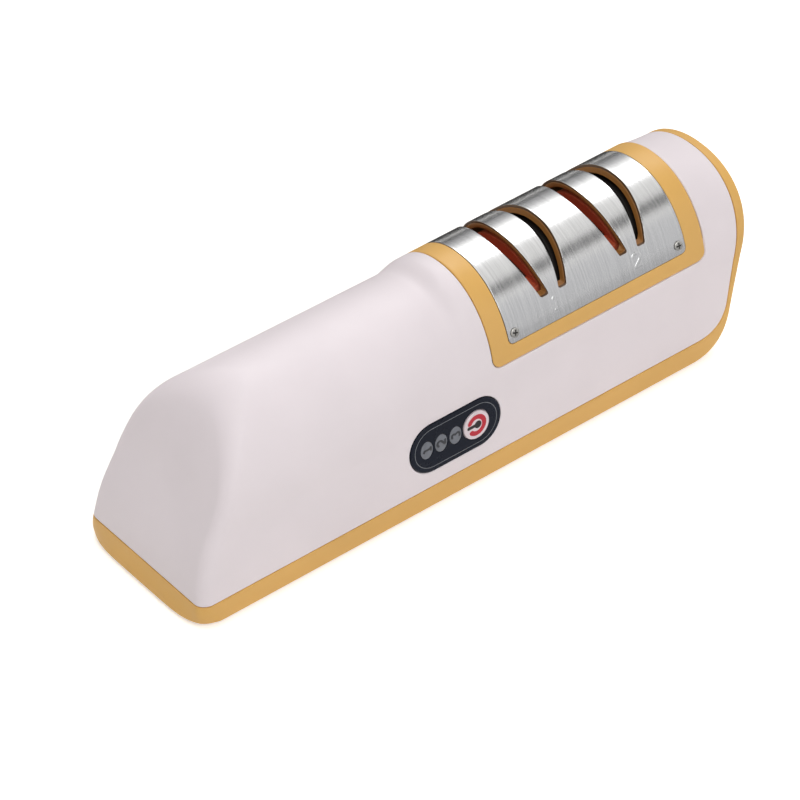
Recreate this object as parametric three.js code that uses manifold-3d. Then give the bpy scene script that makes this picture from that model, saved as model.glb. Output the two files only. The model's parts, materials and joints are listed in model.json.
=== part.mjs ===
// Electric knife sharpener, built as its real pieces. Millimetres, +Z up.
// X runs from the handle end to the tall grinding end, the control panel faces -Y.
// While pieces are made, X is zero at the foot of the handle end and Z is zero under the base.
// The last lines move the whole thing so that its origin is under its middle, where its feet stand.
import * as THREE from 'three';
import { mergeVertices } from 'three/addons/utils/BufferGeometryUtils.js';
import Module from 'manifold-3d';

const wasm = await Module();
wasm.setup();

// Driving dimensions of the body
const bandHeight = 8.6;            // height of the coloured base band
const bandTopHalf = 32.9;          // half width of the body at the top of the band
const springHeight = 34.8;         // where the straight side turns into the arch
const springHalf = 30.2;           // half width there
const crownHeight = 74;            // top of the arch over the grinding head
const archPower = 2.12;            // 2 is an ellipse, more is squarer
const handleDropNear = 3.3;        // how far the crown lies lower just before the shoulder
const handleDropFar = 1.5;         // and at the handle end
const handleFarX = 30;
const shoulderFootRoom = 17.6;     // from the foot of the shoulder to the slot frame
const shoulderTopRoom = 6.4;       // and from its top
const endFlare = 1.7;              // how far the base's foot stands out at the handle end
const endFlarePower = 1.5;
const endLean = 0.145;             // how the handle end leans in, per unit of height
const endStep = 3.6;               // how far it bends back more, low on the shell
const endStepStart = 12;           // from this height
const endStepRise = 20;            // over this much of its height
const endSweep = 26;               // how far its top is swept back
const endSweepPower = 2.7;
const endBend = 6;                 // how far the end's corners lie back at the base's foot
const endBendPower = 6;
const endCornerLow = 5;            // corner radius of the handle end at its foot
const endCornerHigh = 6;           // and at its crown
const rimRoom = 5.5;               // from the slot frame to the seam at the tall end, at the floor
const rimLean = 0.19;              // how it leans out, per unit of height
const rimCrownDrop = 5.8;          // how far the crown falls from the frame to that seam
const rimSpringHeight = 39.4;      // the same side and arch sizes at that seam
const rimSpringHalf = 31.5;
const rimBandHalf = 33.2;
const rimFallPower = 0.8;          // shape of that fall, 1 is straight
const rimCorner = 12;              // radius of the lower corner of the white shell there
const endPlateFoot = 1.6;          // thickness of the end plate, carried down to the floor
const endPlateLean = 0.045;        // and how it thickens, per unit of height
const endPlateCorner = 15;         // radius of its lower outer corner
const wall = 2.2;                  // plastic wall of the shell and the base
const floorThick = 2.4;
const seam = 0.3;                  // gap between two pieces that meet
const formFoot = -26;              // the form runs on below the base to here
const sideHeights = [formFoot, 0, bandHeight / 2, bandHeight];
const faceCentre = 22;             // height of the middle of the handle end's face
const faceShares = [0.28, 0.46, 0.62, 0.76, 0.9];
const bridgeShares = [0.3, 0.65];
const joinX = 62;                  // the plain sections of the handle start here
const stationShares = [0.26, 0.66, 0.88];
const overrun = 2;                 // how far a cutting solid runs past what it cuts
const slabDepth = 120;             // depth across Y of a solid that spans the body
const headroom = 20;               // how far such a solid reaches above the crown

// Driving dimensions of the grinding head
const frameDepth = 30.3;           // slot frame: from the crown down to its lower edge
const frameNear = 31.65;           // from its edge on the handle side to the first stage
const frameFar = 30.5;             // and from the second stage to its other edge
const frameCorner = 3.6;
const frameThick = 4.6;
const lipReach = 3;                // hidden lip behind the shell
const lipThick = 1.6;
const plateNear = 8.1;             // steel plate: how far it lies within the frame's edges
const plateFar = 8.2;
const plateRise = 6.4;
const plateCorner = 2;
const plateThick = 0.8;
const slotDepth = 14;              // from the crown down to the closed ends of the slots
const slotWidth = 3.3;             // width there
const slotSteep = 0.22;            // lean of the wall of a slot near its wheels
const slotShallow = 0.38;          // lean of its other wall
const stagePitch = 36.55;          // from the wheels of one stage to those of the other
const slotPitch = 8.2;             // from slot to slot of one stage, at their closed ends
const guideHalf = 12.5;            // guide block, half its length along X
const guideDepth = 40;             // across Y
const guideRoom = 3.4;             // from the spindle's shoulder up to its foot
const screwHead = 3.6;             // plate screws
const screwShank = 1.8;
const screwInset = 3.1;            // from the plate's side edges
const screwRise = 3.5;             // above its lower edge
const screwSunk = 0.1;             // how far a head stands proud of the plate
const screwHeadThick = 0.5;
const screwLength = 3.6;
const crossWidth = 0.5;
const crossDepth = 0.3;
const crossTurn = Math.PI / 5;

// Driving dimensions of the drive
const spindleRadius = 3;
const spindleNear = 10.5;          // how far the spindle runs on past each bracket
const spindleFar = 8.5;
const wheelTopRoom = 12;           // from the top of the wheels up to the crown
const wheelFootRoom = 14;          // from the floor up to them
const wheelSideRoom = 6.2;         // and from them to the outside of the body
const wheelFace = 2.0;             // thickness of one wheel at its hub
const wheelRim = 1.0;              // and at its rim
const wheelHub = 8;
const wheelBevel = 0.4;            // how far the rim is set back from the face
const wheelBand = 7;               // width of the bevelled band
const wheelGap = 2.2;              // between the two wheels of a stage
const wheelTravel = 0.5;           // how far a wheel is pushed along the spindle
const wheelClear = 1;              // room round a wheel in its guide block
const springOuter = 5.6;
const springInner = 4.4;
const pocketDepth = 1.0;           // pocket for the spring in each wheel
const bearClear = 0.3;             // running clearance round the spindle
const bushRadius = 5.5;
const bushLength = 6;
const bushFlange = 7;
const bushFlangeThick = 1.2;
const bracketThick = 3;
const bracketRoom = 7.1;           // from the coupling to the first bracket
const bracketNear = 18.25;         // from that bracket to the first stage
const bracketFar = 16.2;           // and from the second stage to the other bracket
const bracketHalf = 22;
const bracketRise = 12;            // above the spindle
const bracketFlange = 8;
const wireNotch = 5;                // room for the leads past a bracket
const bracketScrewHead = 2.6;
const bracketScrewShank = 1.4;
const bracketScrewHeadThick = 1.2;
const clipRadius = 4.6;
const clipThick = 0.8;
const couplingRadius = 7;
const couplingHub = 4;             // length of the plain part of each coupling half
const jawLength = 3.2;
const motorRadius = 14;
const motorRoom = 6;               // from the cells to the motor
const motorLength = 38;
const motorCapThick = 3;
const motorShaftRadius = 1.6;
const motorBoss = 4.5;
const motorBossThick = 1.6;
const motorShaftReach = 9.6;       // shaft beyond the motor's face
const cradleThick = 4;
const capInset = 1;
const cradleInset = 4;
const cradleHalf = 18;
const strapWidth = 9;
const strapThick = 0.8;
const shaftInside = 6;             // length of the motor's shaft inside its can
const terminalLength = 4;
const terminalHalf = 1.4;
const terminalPitch = 8;
const couplingClear = 1;           // between the motor's boss and the first hub
const spiderArm = 1.8;
const spiderHeart = 2.9;

// Driving dimensions of the controls on the front
const panelNear = 19;              // from the middle of the panel to the slot frame
const panelCentreZ = 25.3;
const panelLength = 40.8;
const panelHeight = 19.9;
const panelThick = 1.6;
const panelProud = 0.35;
const buttonRadius = 5.7;
const buttonAside = 9.1;           // from the middle of the panel
const buttonThick = 2.2;
const buttonProud = 0.5;
const buttonTravel = 0.6;
const buttonFlange = 6.2;
const buttonFlangeThick = 0.7;
const lensHalfWidth = 2.7;
const lensHalfHeight = 3.6;
const lensAsides = [-13.1, -6.6, -0.1];
const lensThick = 0.5;
const lightHole = 0.9;
const ledSize = 1.6;
const ledThick = 0.8;
const panelBoardThick = 1.2;
const panelBoardBack = 4.6;        // from the panel's face to the board's face
const switchSize = 6;
const switchThick = 1.6;
const plungerRadius = 1.7;
const switchWell = 0.4;            // thickness of the switch's floor under its plunger
const nestDepth = 0.8;             // recess behind the panel for the button's flange
const lensSunk = 0.1;
const boardTrim = 3;               // how much smaller the board is than the panel

// Driving dimensions of the power pieces
const cellRadius = 9.2;
const cellLength = 65;
const cellStart = 17;
const cellPitch = 19.4;
const holderThick = 1.6;
const contactThick = 0.4;
const contactGap = 0.3;
const boardThick = 1.6;
const chargeBoardLength = 14;
const chargeBoardWidth = 22;
const chargeBoardHeight = 12;
const chargeBack = 4;              // from the board's edge to the end plate's inner face
const socketWidth = 9;
const socketHeight = 3.2;
const socketDepth = 10;
const socketWall = 0.4;
const tongueThick = 0.7;
const leadRadius = 1.1;
const leadSteps = 18;
const leadArcs = 4;
const leadTurn = 6;                // how far a lead runs on before it turns
const bendShare = 0.7;
const cellNub = 3;
const holderHalf = 19.2;
const legInset = 2.5;
const legRadius = 2;
const socketBack = 1;              // solid back of the socket
const tongueHalf = 3;

// Driving dimensions of feet and fixings
const footRadius = 5.5;
const footProud = 1.2;
const footSunk = 1;
const footNear = 20;               // from the handle end to the first feet
const footFar = 27.3;              // and from the others to the seam at the tall end
const footAside = 23;
const postRadius = 3.4;
const postNear = 30;
const postFar = 12.3;
const postAside = 27.4;
const postTop = 40;
const baseScrewHead = 2.8;
const baseScrewShank = 1.3;
const baseScrewHeadThick = 1.6;
const baseScrewReach = 9;

// Places worked out from those sizes: along the body from the cells to the tall end, and down
// from the crown
const motorStart = cellStart + cellLength + motorRoom;
const motorFace = motorStart + motorLength;
const couplingStart = motorFace + motorBossThick + couplingClear;
const couplingMid = couplingStart + couplingHub + seam + jawLength / 2;
const couplingEnd = couplingMid + jawLength / 2 + seam + couplingHub;
const firstBracket = couplingEnd + bracketRoom;
const firstStage = firstBracket + bracketNear;
const secondStage = firstStage + stagePitch;
const stageCentres = [firstStage, secondStage];
const bracketPlaces = [firstBracket, secondStage + bracketFar];
const spindleStart = bracketPlaces[0] - spindleNear;
const spindleEnd = bracketPlaces[1] + spindleFar;
const frameStart = firstStage - frameNear;
const frameEnd = secondStage + frameFar;
const plateStart = frameStart + plateNear;
const plateEnd = frameEnd - plateFar;
const shoulderFootX = frameStart - shoulderFootRoom;
const shoulderTopX = frameStart - shoulderTopRoom;
const rimFootX = frameEnd + rimRoom;
const panelCentreX = frameStart - panelNear;
const buttonX = panelCentreX + buttonAside;
const lensPlaces = lensAsides.map((aside) => panelCentreX + aside);
const footPlaces = [[footNear, footAside], [rimFootX - footFar, footAside]];
const postPlaces = [[postNear, postAside], [rimFootX - postFar, postAside]];
const frameFoot = crownHeight - frameDepth;
const plateFoot = frameFoot + plateRise;
const slotFoot = crownHeight - slotDepth;
// The wheels fit the body's height and its width
const wheelRadius = Math.min(
  (crownHeight - wheelTopRoom - wheelFootRoom) / 2,
  springHalf - wheelSideRoom,
);
const spindleHeight = crownHeight - wheelTopRoom - wheelRadius;
const guideFoot = spindleHeight + clipRadius + guideRoom;
const bracketTop = spindleHeight + bracketRise;

// Mesh fineness, and the volume under which a piece is only a crumb of a cut
const crumb = 0.2;
const weld = 0.001;                // corners closer than this are one corner
const archSteps = 12;
const roundSteps = 20;
const smallSteps = 10;
const slabArcs = 8;
const capsuleArcs = 10;
const cornerSteps = 4;
const shoulderSteps = 6;
const farSteps = 4;
const wheelSteps = 30;

const materials = {};
function material(name, color, roughness, metalness) {
  materials[name] ??= new THREE.MeshStandardMaterial({ color, roughness, metalness });
  return materials[name];
}
const white = () => material('white', 0xe4dee2, 0.4, 0);
const gold = () => material('gold', 0xd9a95a, 0.45, 0);
const steel = () => material('steel', 0xc4c4c8, 0.3, 1);
const dark = () => material('dark', 0x20242c, 0.3, 0);
const rust = () => material('rust', 0x8c4030, 0.7, 0);
const rubber = () => material('rubber', 0x2a2a2a, 0.9, 0);
const board = () => material('board', 0x1f5a3a, 0.6, 0);
const brass = () => material('brass', 0xb59a4a, 0.4, 1);

const group = new THREE.Group();

// Turn a closed geometry into a solid that can be joined and cut
function solid(geometry) {
  const bare = geometry.clone();
  bare.deleteAttribute('normal');
  bare.deleteAttribute('uv');
  const merged = mergeVertices(bare, weld);
  const vertProperties = new Float32Array(merged.attributes.position.array);
  const triVerts = new Uint32Array(merged.index.array);
  return new wasm.Manifold(new wasm.Mesh({ numProp: 3, vertProperties, triVerts }));
}

function geometryOf(shape) {
  const mesh = shape.getMesh();
  const points = [];
  for (let i = 0; i < mesh.vertProperties.length; i += mesh.numProp) {
    points.push(mesh.vertProperties[i], mesh.vertProperties[i + 1], mesh.vertProperties[i + 2]);
  }
  const geometry = new THREE.BufferGeometry();
  geometry.setAttribute('position', new THREE.Float32BufferAttribute(points, 3));
  geometry.setIndex(Array.from(mesh.triVerts));
  geometry.computeVertexNormals();
  return geometry;
}

// Crumbs that two nearly equal surfaces leave when one cuts the other are dropped
function add(name, shape, finish) {
  const settled = solid(geometryOf(shape.simplify(weld * 2)));
  const whole = settled.decompose().filter((piece) => piece.volume() > crumb);
  const mesh = new THREE.Mesh(geometryOf(join(whole)), finish);
  mesh.name = name;
  group.add(mesh);
}

const join = (shapes) => shapes.reduce((sum, next) => sum.add(next));
const cutAll = (shape, cutters) => cutters.reduce((rest, cutter) => rest.subtract(cutter), shape);

// A box given by its low and high corners
function block([x0, y0, z0], [x1, y1, z1]) {
  const box = new THREE.BoxGeometry(x1 - x0, y1 - y0, z1 - z0);
  return solid(box.translate((x0 + x1) / 2, (y0 + y1) / 2, (z0 + z1) / 2));
}

// A round bar along X, Y or Z from a start point
function bar(axis, [x, y, z], radius, length, steps = roundSteps) {
  const cylinder = new THREE.CylinderGeometry(radius, radius, length, steps);
  cylinder.translate(0, length / 2, 0);
  if (axis === 'x') cylinder.rotateZ(-Math.PI / 2);
  if (axis === 'z') cylinder.rotateX(Math.PI / 2);
  return solid(cylinder.translate(x, y, z));
}

// A turned piece along X: the profile holds pairs of place along the axis and radius
function turned(profile, [x, y, z], steps = roundSteps) {
  const points = profile.map(([along, radius]) => new THREE.Vector2(radius, along));
  const lathe = new THREE.LatheGeometry(points, steps);
  return solid(lathe.rotateZ(-Math.PI / 2).translate(x, y, z));
}

// A slab across the whole depth of the body, from an outline drawn in X and Z
function slab(outline, depth = slabDepth) {
  const flat = new THREE.ExtrudeGeometry(outline, {
    depth, bevelEnabled: false, curveSegments: slabArcs,
  });
  return solid(flat.rotateX(Math.PI / 2).translate(0, depth / 2, 0));
}

function polygon(points) {
  return new THREE.Shape(points.map(([x, z]) => new THREE.Vector2(x, z)));
}

const smooth = (share) => {
  const held = Math.min(1, Math.max(0, share));
  return held * held * (3 - 2 * held);
};
const mix = (from, to, share) => from + (to - from) * share;
const rimX = (z) => rimFootX + rimLean * z;
const rimTopX = rimX(crownHeight);

// How far the crown lies below its full height at a place along the body
function crownDrop(x) {
  const along = (x - handleFarX) / (shoulderFootX - handleFarX);
  const handle = mix(handleDropFar, handleDropNear, Math.min(1, Math.max(0, along)));
  const shoulder = (x - shoulderFootX) / (shoulderTopX - shoulderFootX);
  const fall = (x - frameEnd) / (rimTopX - frameEnd);
  return handle * (1 - smooth(shoulder)) + rimCrownDrop * Math.max(0, fall) ** rimFallPower;
}

// Half of the section at a place along the body, drawn in by an inset: points of Y and Z
// that go up the straight side and then over a superellipse to the crown
function halfSection(x, inset) {
  const toRim = Math.max(0, (x - frameEnd) / (rimTopX - frameEnd));
  const spring = mix(springHeight, rimSpringHeight, toRim);
  const half = mix(springHalf, rimSpringHalf, toRim) - inset;
  const bandHalf = mix(bandTopHalf, rimBandHalf, toRim) - inset;
  const crown = crownHeight - crownDrop(x) - inset;
  const lean = (bandHalf - half) / (spring - bandHeight);
  const points = [];
  for (const z of sideHeights) points.push([half + lean * (spring - z), z]);
  for (let i = 0; i <= archSteps; i += 1) {
    const turn = (i / archSteps) * (Math.PI / 2);
    const y = half * Math.max(0, Math.cos(turn)) ** (2 / archPower);
    const z = spring + (crown - spring) * Math.sin(turn) ** (2 / archPower);
    points.push([y, z]);
  }
  return points;
}

function loop(x, inset) {
  const half = halfSection(x, inset);
  const front = half.map(([y, z]) => [-y, z]);
  const rear = half.slice(0, -1).reverse().map(([y, z]) => [y, z]);
  return [...front, ...rear];
}

// The swept profile of the handle end: X of its face at a height
function endFace(z, inset) {
  const crown = crownHeight - crownDrop(handleFarX) - inset;
  const rise = Math.min(1, Math.max(0, z / crown));
  const flare = endFlare * Math.min(1, Math.max(0, 1 - z / bandHeight)) ** endFlarePower;
  const sweep = endSweep * (1 - Math.sqrt(1 - rise ** endSweepPower));
  const step = endStep * smooth((z - endStepStart) / endStepRise);
  return inset - flare + endLean * z + step + sweep;
}

// The whole outer form of the body, drawn in by an inset. It runs on below the base and past
// the tall end, where slabs cut it off.
const formRight = rimTopX + headroom;
function bodyForm(inset) {
  const rings = [];
  const base = loop(handleFarX, inset);
  const corner = ([, z]) => {
    const radius = mix(endCornerLow, endCornerHigh, Math.min(1, Math.max(0, z / crownHeight)));
    return Math.max(radius - inset, seam);
  };
  const faceRing = (place, angle) => base.map((point) => {
    const [y, z] = point;
    const reach = Math.hypot(y, z - faceCentre);
    const radius = corner(point);
    const share = place * (1 - (radius / reach) * (1 - Math.sin(angle)));
    const height = faceCentre + (z - faceCentre) * share;
    const below = Math.min(1, Math.max(0, 1 - height / bandHeight));
    const aside = (Math.abs(y * share) + inset) / bandTopHalf;
    const face = endFace(height, inset) + endBend * below ** 2 * aside ** endBendPower;
    return [face + radius * (1 - Math.cos(angle)), y * share, height];
  });
  faceShares.forEach((share) => rings.push(faceRing(share, 0)));
  for (let i = 0; i <= cornerSteps; i += 1) {
    rings.push(faceRing(1, (i / cornerSteps) * (Math.PI / 2)));
  }
  const last = rings.at(-1);
  const straight = (x) => loop(x, inset).map(([y, z]) => [x, y, z]);
  for (const share of bridgeShares) {
    const target = straight(joinX);
    rings.push(target.map((point, i) => point.map((value, k) => mix(last[i][k], value, share))));
  }
  const stations = [joinX, ...stationShares.map((share) => mix(joinX, shoulderFootX, share))];
  stations.push(shoulderFootX);
  for (let i = 1; i <= shoulderSteps; i += 1) {
    stations.push(mix(shoulderFootX, shoulderTopX, i / shoulderSteps));
  }
  stations.push(frameEnd);
  for (let i = 1; i <= farSteps; i += 1) stations.push(mix(frameEnd, formRight, i / farSteps));
  stations.forEach((x) => rings.push(straight(x)));
  const count = base.length;
  const points = [[endFace(faceCentre, inset), 0, faceCentre]];
  rings.forEach((ring) => points.push(...ring));
  points.push([formRight, 0, faceCentre]);
  const faces = [];
  const at = (ring, i) => 1 + ring * count + (i % count);
  for (let i = 0; i < count; i += 1) {
    faces.push(0, at(0, i), at(0, i + 1));
    for (let ring = 0; ring + 1 < rings.length; ring += 1) {
      faces.push(at(ring, i), at(ring + 1, i), at(ring + 1, i + 1));
      faces.push(at(ring, i), at(ring + 1, i + 1), at(ring, i + 1));
    }
    faces.push(points.length - 1, at(rings.length - 1, i + 1), at(rings.length - 1, i));
  }
  const geometry = new THREE.BufferGeometry();
  geometry.setAttribute('position', new THREE.Float32BufferAttribute(points.flat(), 3));
  geometry.setIndex(faces);
  return solid(geometry);
}

const top = crownHeight + headroom;
const far = rimTopX + headroom;

// Outline in X and Z of what lies left of a line parallel to the seam at the tall end and
// above a height, with its lower corner rounded
function sideOutline(foot, footX, radius, lean = rimLean) {
  const edge = (z) => footX + lean * z;
  const outline = new THREE.Shape();
  outline.moveTo(-headroom, foot);
  outline.lineTo(edge(foot) - radius, foot);
  outline.quadraticCurveTo(edge(foot), foot, edge(foot + radius), foot + radius);
  outline.lineTo(edge(top), top);
  outline.lineTo(-headroom, top);
  return outline;
}

// Outline of the saddle that the slot frame or the plate covers, grown by a margin
function saddleOutline(start, end, foot, radius, margin) {
  const [x0, x1, z0, r] = [start - margin, end + margin, foot - margin, radius + margin];
  const outline = new THREE.Shape();
  outline.moveTo(x0, top);
  outline.lineTo(x0, z0 + r);
  outline.absarc(x0 + r, z0 + r, r, Math.PI, Math.PI * 1.5, false);
  outline.absarc(x1 - r, z0 + r, r, Math.PI * 1.5, Math.PI * 2, false);
  outline.lineTo(x1, top);
  return outline;
}

const outerForm = bodyForm(0);
const innerForm = bodyForm(wall);
const underFrame = bodyForm(frameThick);
const outerFoot = rimFootX + endPlateFoot;
const outerLean = rimLean + endPlateLean;
const frameSlab = (margin) => slab(saddleOutline(frameStart, frameEnd, frameFoot, frameCorner, margin));
const plateSlab = (margin) => slab(saddleOutline(plateStart, plateEnd, plateFoot, plateCorner, margin));

// The slots: each is a wedge across the body, narrow at its closed foot and wide at the crown.
// side is -1 for the slot on the handle side of a stage's wheels and 1 for the other.
const slotPlaces = stageCentres.flatMap((centre) => [-1, 1].map((side) => ({ centre, side })));
function slotWedge({ centre, side }, grow, foot = slotFoot) {
  const near = (z) => slotPitch / 2 - slotWidth / 2 - grow + slotSteep * (z - slotFoot);
  const away = (z) => slotPitch / 2 + slotWidth / 2 + grow + slotShallow * (z - slotFoot);
  const heights = [foot - grow, top];
  const points = [
    [centre + side * near(heights[0]), heights[0]],
    [centre + side * near(heights[1]), heights[1]],
    [centre + side * away(heights[1]), heights[1]],
    [centre + side * away(heights[0]), heights[0]],
  ];
  return slab(polygon(side < 0 ? points : points.reverse()));
}
const slots = slotPlaces.map((place) => slotWedge(place, 0));

// Outward direction and place of a point on the front or rear of the section
function skinPoint(x, z, side) {
  const half = halfSection(x, 0);
  const above = half.findIndex(([, height]) => height >= z);
  const [y0, z0] = half[above - 1];
  const [y1, z1] = half[above];
  const y = mix(y0, y1, (z - z0) / (z1 - z0));
  const normal = new THREE.Vector3(0, side * (z1 - z0), y0 - y1).normalize();
  return { point: new THREE.Vector3(x, side * y, z), normal };
}

// Move a solid made along +Z so that it stands on a point along a direction
function stood(shape, point, normal, spin = 0) {
  const turn = new THREE.Quaternion().setFromUnitVectors(new THREE.Vector3(0, 0, 1), normal);
  const spun = new THREE.Quaternion().setFromAxisAngle(new THREE.Vector3(0, 0, 1), spin);
  const place = new THREE.Matrix4().compose(point, turn.multiply(spun), new THREE.Vector3(1, 1, 1));
  return shape.transform(place.elements);
}

// Control panel: a capsule on the front face, its parts made lying in X and Y and then stood
// on the side of the body with their fronts facing out
const panelSkin = skinPoint(panelCentreX, panelCentreZ, -1);
function capsule(length, height, low, high) {
  const radius = height / 2;
  const reach = length / 2 - radius;
  const outline = new THREE.Shape();
  outline.absarc(reach, 0, radius, -Math.PI / 2, Math.PI / 2, false);
  outline.absarc(-reach, 0, radius, Math.PI / 2, Math.PI * 1.5, false);
  const flat = new THREE.ExtrudeGeometry(outline, {
    depth: high - low, bevelEnabled: false, curveSegments: capsuleArcs,
  });
  return solid(flat.translate(0, 0, low));
}
function onPanel(shape) {
  const across = new THREE.Vector3(1, 0, 0);
  const up = new THREE.Vector3().crossVectors(panelSkin.normal, across);
  const place = new THREE.Matrix4().makeBasis(across, up, panelSkin.normal);
  place.setPosition(panelSkin.point);
  return shape.transform(place.elements);
}
const disc = (x, radius, low, high, steps = roundSteps) => (
  bar('z', [x - panelCentreX, 0, low], radius, high - low, steps)
);
const panelBack = panelProud - panelThick;
const boardFace = panelProud - panelBoardBack;

// Main shell: the white housing with its window for the frame, its recess for the panel and
// the posts that take the base screws
const shellFoot = bandHeight + seam / 2;
const shellRegion = slab(sideOutline(shellFoot, rimFootX - seam / 2, rimCorner));
const posts = postPlaces.flatMap(([x, y]) => [-1, 1].map((side) => (
  bar('z', [x, side * y, shellFoot], postRadius, postTop - shellFoot, smallSteps)
)));
const postHoles = postPlaces.flatMap(([x, y]) => [-1, 1].map((side) => (
  bar('z', [x, side * y, 0], baseScrewShank + seam, baseScrewReach + bandHeight + seam, smallSteps)
)));
const [windowLength, windowHeight] = [panelLength + seam * 2, panelHeight + seam * 2];
const panelHole = onPanel(capsule(windowLength, windowHeight, -wall * 2, overrun));
let shell = outerForm.subtract(innerForm).add(join(posts).intersect(outerForm));
shell = shell.intersect(shellRegion);
shell = cutAll(shell, [frameSlab(seam), panelHole, ...postHoles]);
add('main_shell', shell, white());

// Base tray: the coloured base with its upright end plate, one moulding
const baseRegion = slab(sideOutline(0, outerFoot, endPlateCorner, outerLean));
const shellSpace = slab(sideOutline(bandHeight - seam / 2, rimFootX + seam / 2, rimCorner));
const hollowEnd = outerFoot - floorThick;
const hollowCorner = endPlateCorner - floorThick;
const hollow = slab(sideOutline(floorThick, hollowEnd, hollowCorner, outerLean));
const socketX = outerFoot + outerLean * chargeBoardHeight;
const footHoles = footPlaces.flatMap(([x, y]) => [-1, 1].map((side) => (
  bar('z', [x, side * y, -overrun], footRadius + seam, footSunk + overrun, smallSteps)
)));
const screwHoles = postPlaces.flatMap(([x, y]) => [-1, 1].flatMap((side) => [
  bar('z', [x, side * y, -overrun], baseScrewShank + seam, bandHeight + overrun, smallSteps),
  bar('z', [x, side * y, -overrun], baseScrewHead + seam, baseScrewHeadThick + overrun, smallSteps),
]));
const basePosts = postPlaces.flatMap(([x, y]) => [-1, 1].map((side) => (
  bar('z', [x, side * y, 0], postRadius, bandHeight - seam / 2, smallSteps)
)));
const socketLow = chargeBoardHeight + boardThick + seam;
const socketCut = block(
  [rimFootX - headroom, -socketWidth / 2 - seam, socketLow - seam],
  [far, socketWidth / 2 + seam, socketLow + socketHeight + seam],
);
const chargeEnd = socketX - floorThick - chargeBack;
const chargeStart = chargeEnd - chargeBoardLength;
const boardLegs = [-1, 1].map((side) => bar(
  'z',
  [chargeStart + legInset, side * (chargeBoardWidth / 2 - legInset), floorThick / 2],
  legRadius,
  chargeBoardHeight - seam - floorThick / 2,
  smallSteps,
));
let tray = outerForm.intersect(baseRegion).subtract(shellSpace);
tray = tray.subtract(innerForm.intersect(hollow));
tray = cutAll(tray.add(join([...basePosts, ...boardLegs])), [...footHoles, ...screwHoles, socketCut]);
add('base_tray', tray, gold());

// Slot frame: the saddle over the grinding head, with a recess for the plate and a lip behind
// the edge of the shell
const lipOuter = bodyForm(wall + seam);
const lipInner = bodyForm(wall + seam + lipThick);
const plateUnder = bodyForm(plateThick + seam / 2);
let frame = outerForm.subtract(underFrame).intersect(frameSlab(0));
frame = frame.subtract(outerForm.subtract(plateUnder).intersect(plateSlab(seam / 2)));
const lip = lipOuter.subtract(lipInner).intersect(frameSlab(lipReach)).subtract(frameSlab(-wall));
frame = frame.add(lip.intersect(shellRegion));

// Places of the four plate screws
const plateScrews = [plateStart + screwInset, plateEnd - screwInset].flatMap((x) => (
  [-1, 1].map((side) => skinPoint(x, plateFoot + screwRise, side))
));
const boreDepth = screwLength + seam * 2;
const screwBores = plateScrews.map(({ point, normal }) => (
  stood(bar('z', [0, 0, -boreDepth], screwShank / 2 + seam / 2, headroom, smallSteps), point, normal)
));
add('slot_frame', cutAll(frame, [...slots, ...screwBores]), gold());

// Slot plate: curved sheet steel with the four slots
const plate = outerForm.subtract(bodyForm(plateThick)).intersect(plateSlab(0));
const plateSlots = slotPlaces.map((place) => slotWedge(place, seam / 2));
add('slot_plate', cutAll(plate, [...plateSlots, ...screwBores]), steel());

// Plate screws with a cross in each head
function plateScrew({ point, normal }) {
  const head = bar('z', [0, 0, screwSunk], screwHead / 2, screwHeadThick, smallSteps);
  const shankLength = screwLength + screwSunk + crossDepth;
  const shank = bar('z', [0, 0, -screwLength], screwShank / 2, shankLength, smallSteps);
  const cutTop = screwSunk + screwHeadThick + overrun;
  const cutFoot = screwSunk + screwHeadThick - crossDepth;
  const [long, narrow] = [screwHead / 2 - crossWidth, crossWidth / 2];
  const cross = block([-long, -narrow, cutFoot], [long, narrow, cutTop]).add(
    block([-narrow, -long, cutFoot], [narrow, long, cutTop]),
  );
  return stood(head.add(shank).subtract(cross), point, normal, crossTurn);
}
plateScrews.forEach((place, i) => add(`plate_screw_${i + 1}`, plateScrew(place), steel()));

// Guide blocks: one for each stage, with the slots' walls going down to the wheels
const stageNames = ['fine', 'coarse'];
const guideSpace = bodyForm(frameThick + seam);
const wheelSpan = wheelFace * 2 + wheelGap;
stageCentres.forEach((centre, stage) => {
  const body = block(
    [centre - guideHalf, -guideDepth / 2, guideFoot],
    [centre + guideHalf, guideDepth / 2, crownHeight],
  );
  const room = wheelSpan / 2 + wheelTravel;
  const pocketRadius = wheelRadius + wheelClear;
  const pocket = bar('x', [centre - room, 0, spindleHeight], pocketRadius, room * 2, wheelSteps);
  const cuts = slotPlaces.filter((place) => place.centre === centre);
  const walls = cuts.map((place) => slotWedge(place, 0));
  add(`${stageNames[stage]}_guide`, cutAll(body.intersect(guideSpace), [...walls, pocket]), rust());
});

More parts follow.
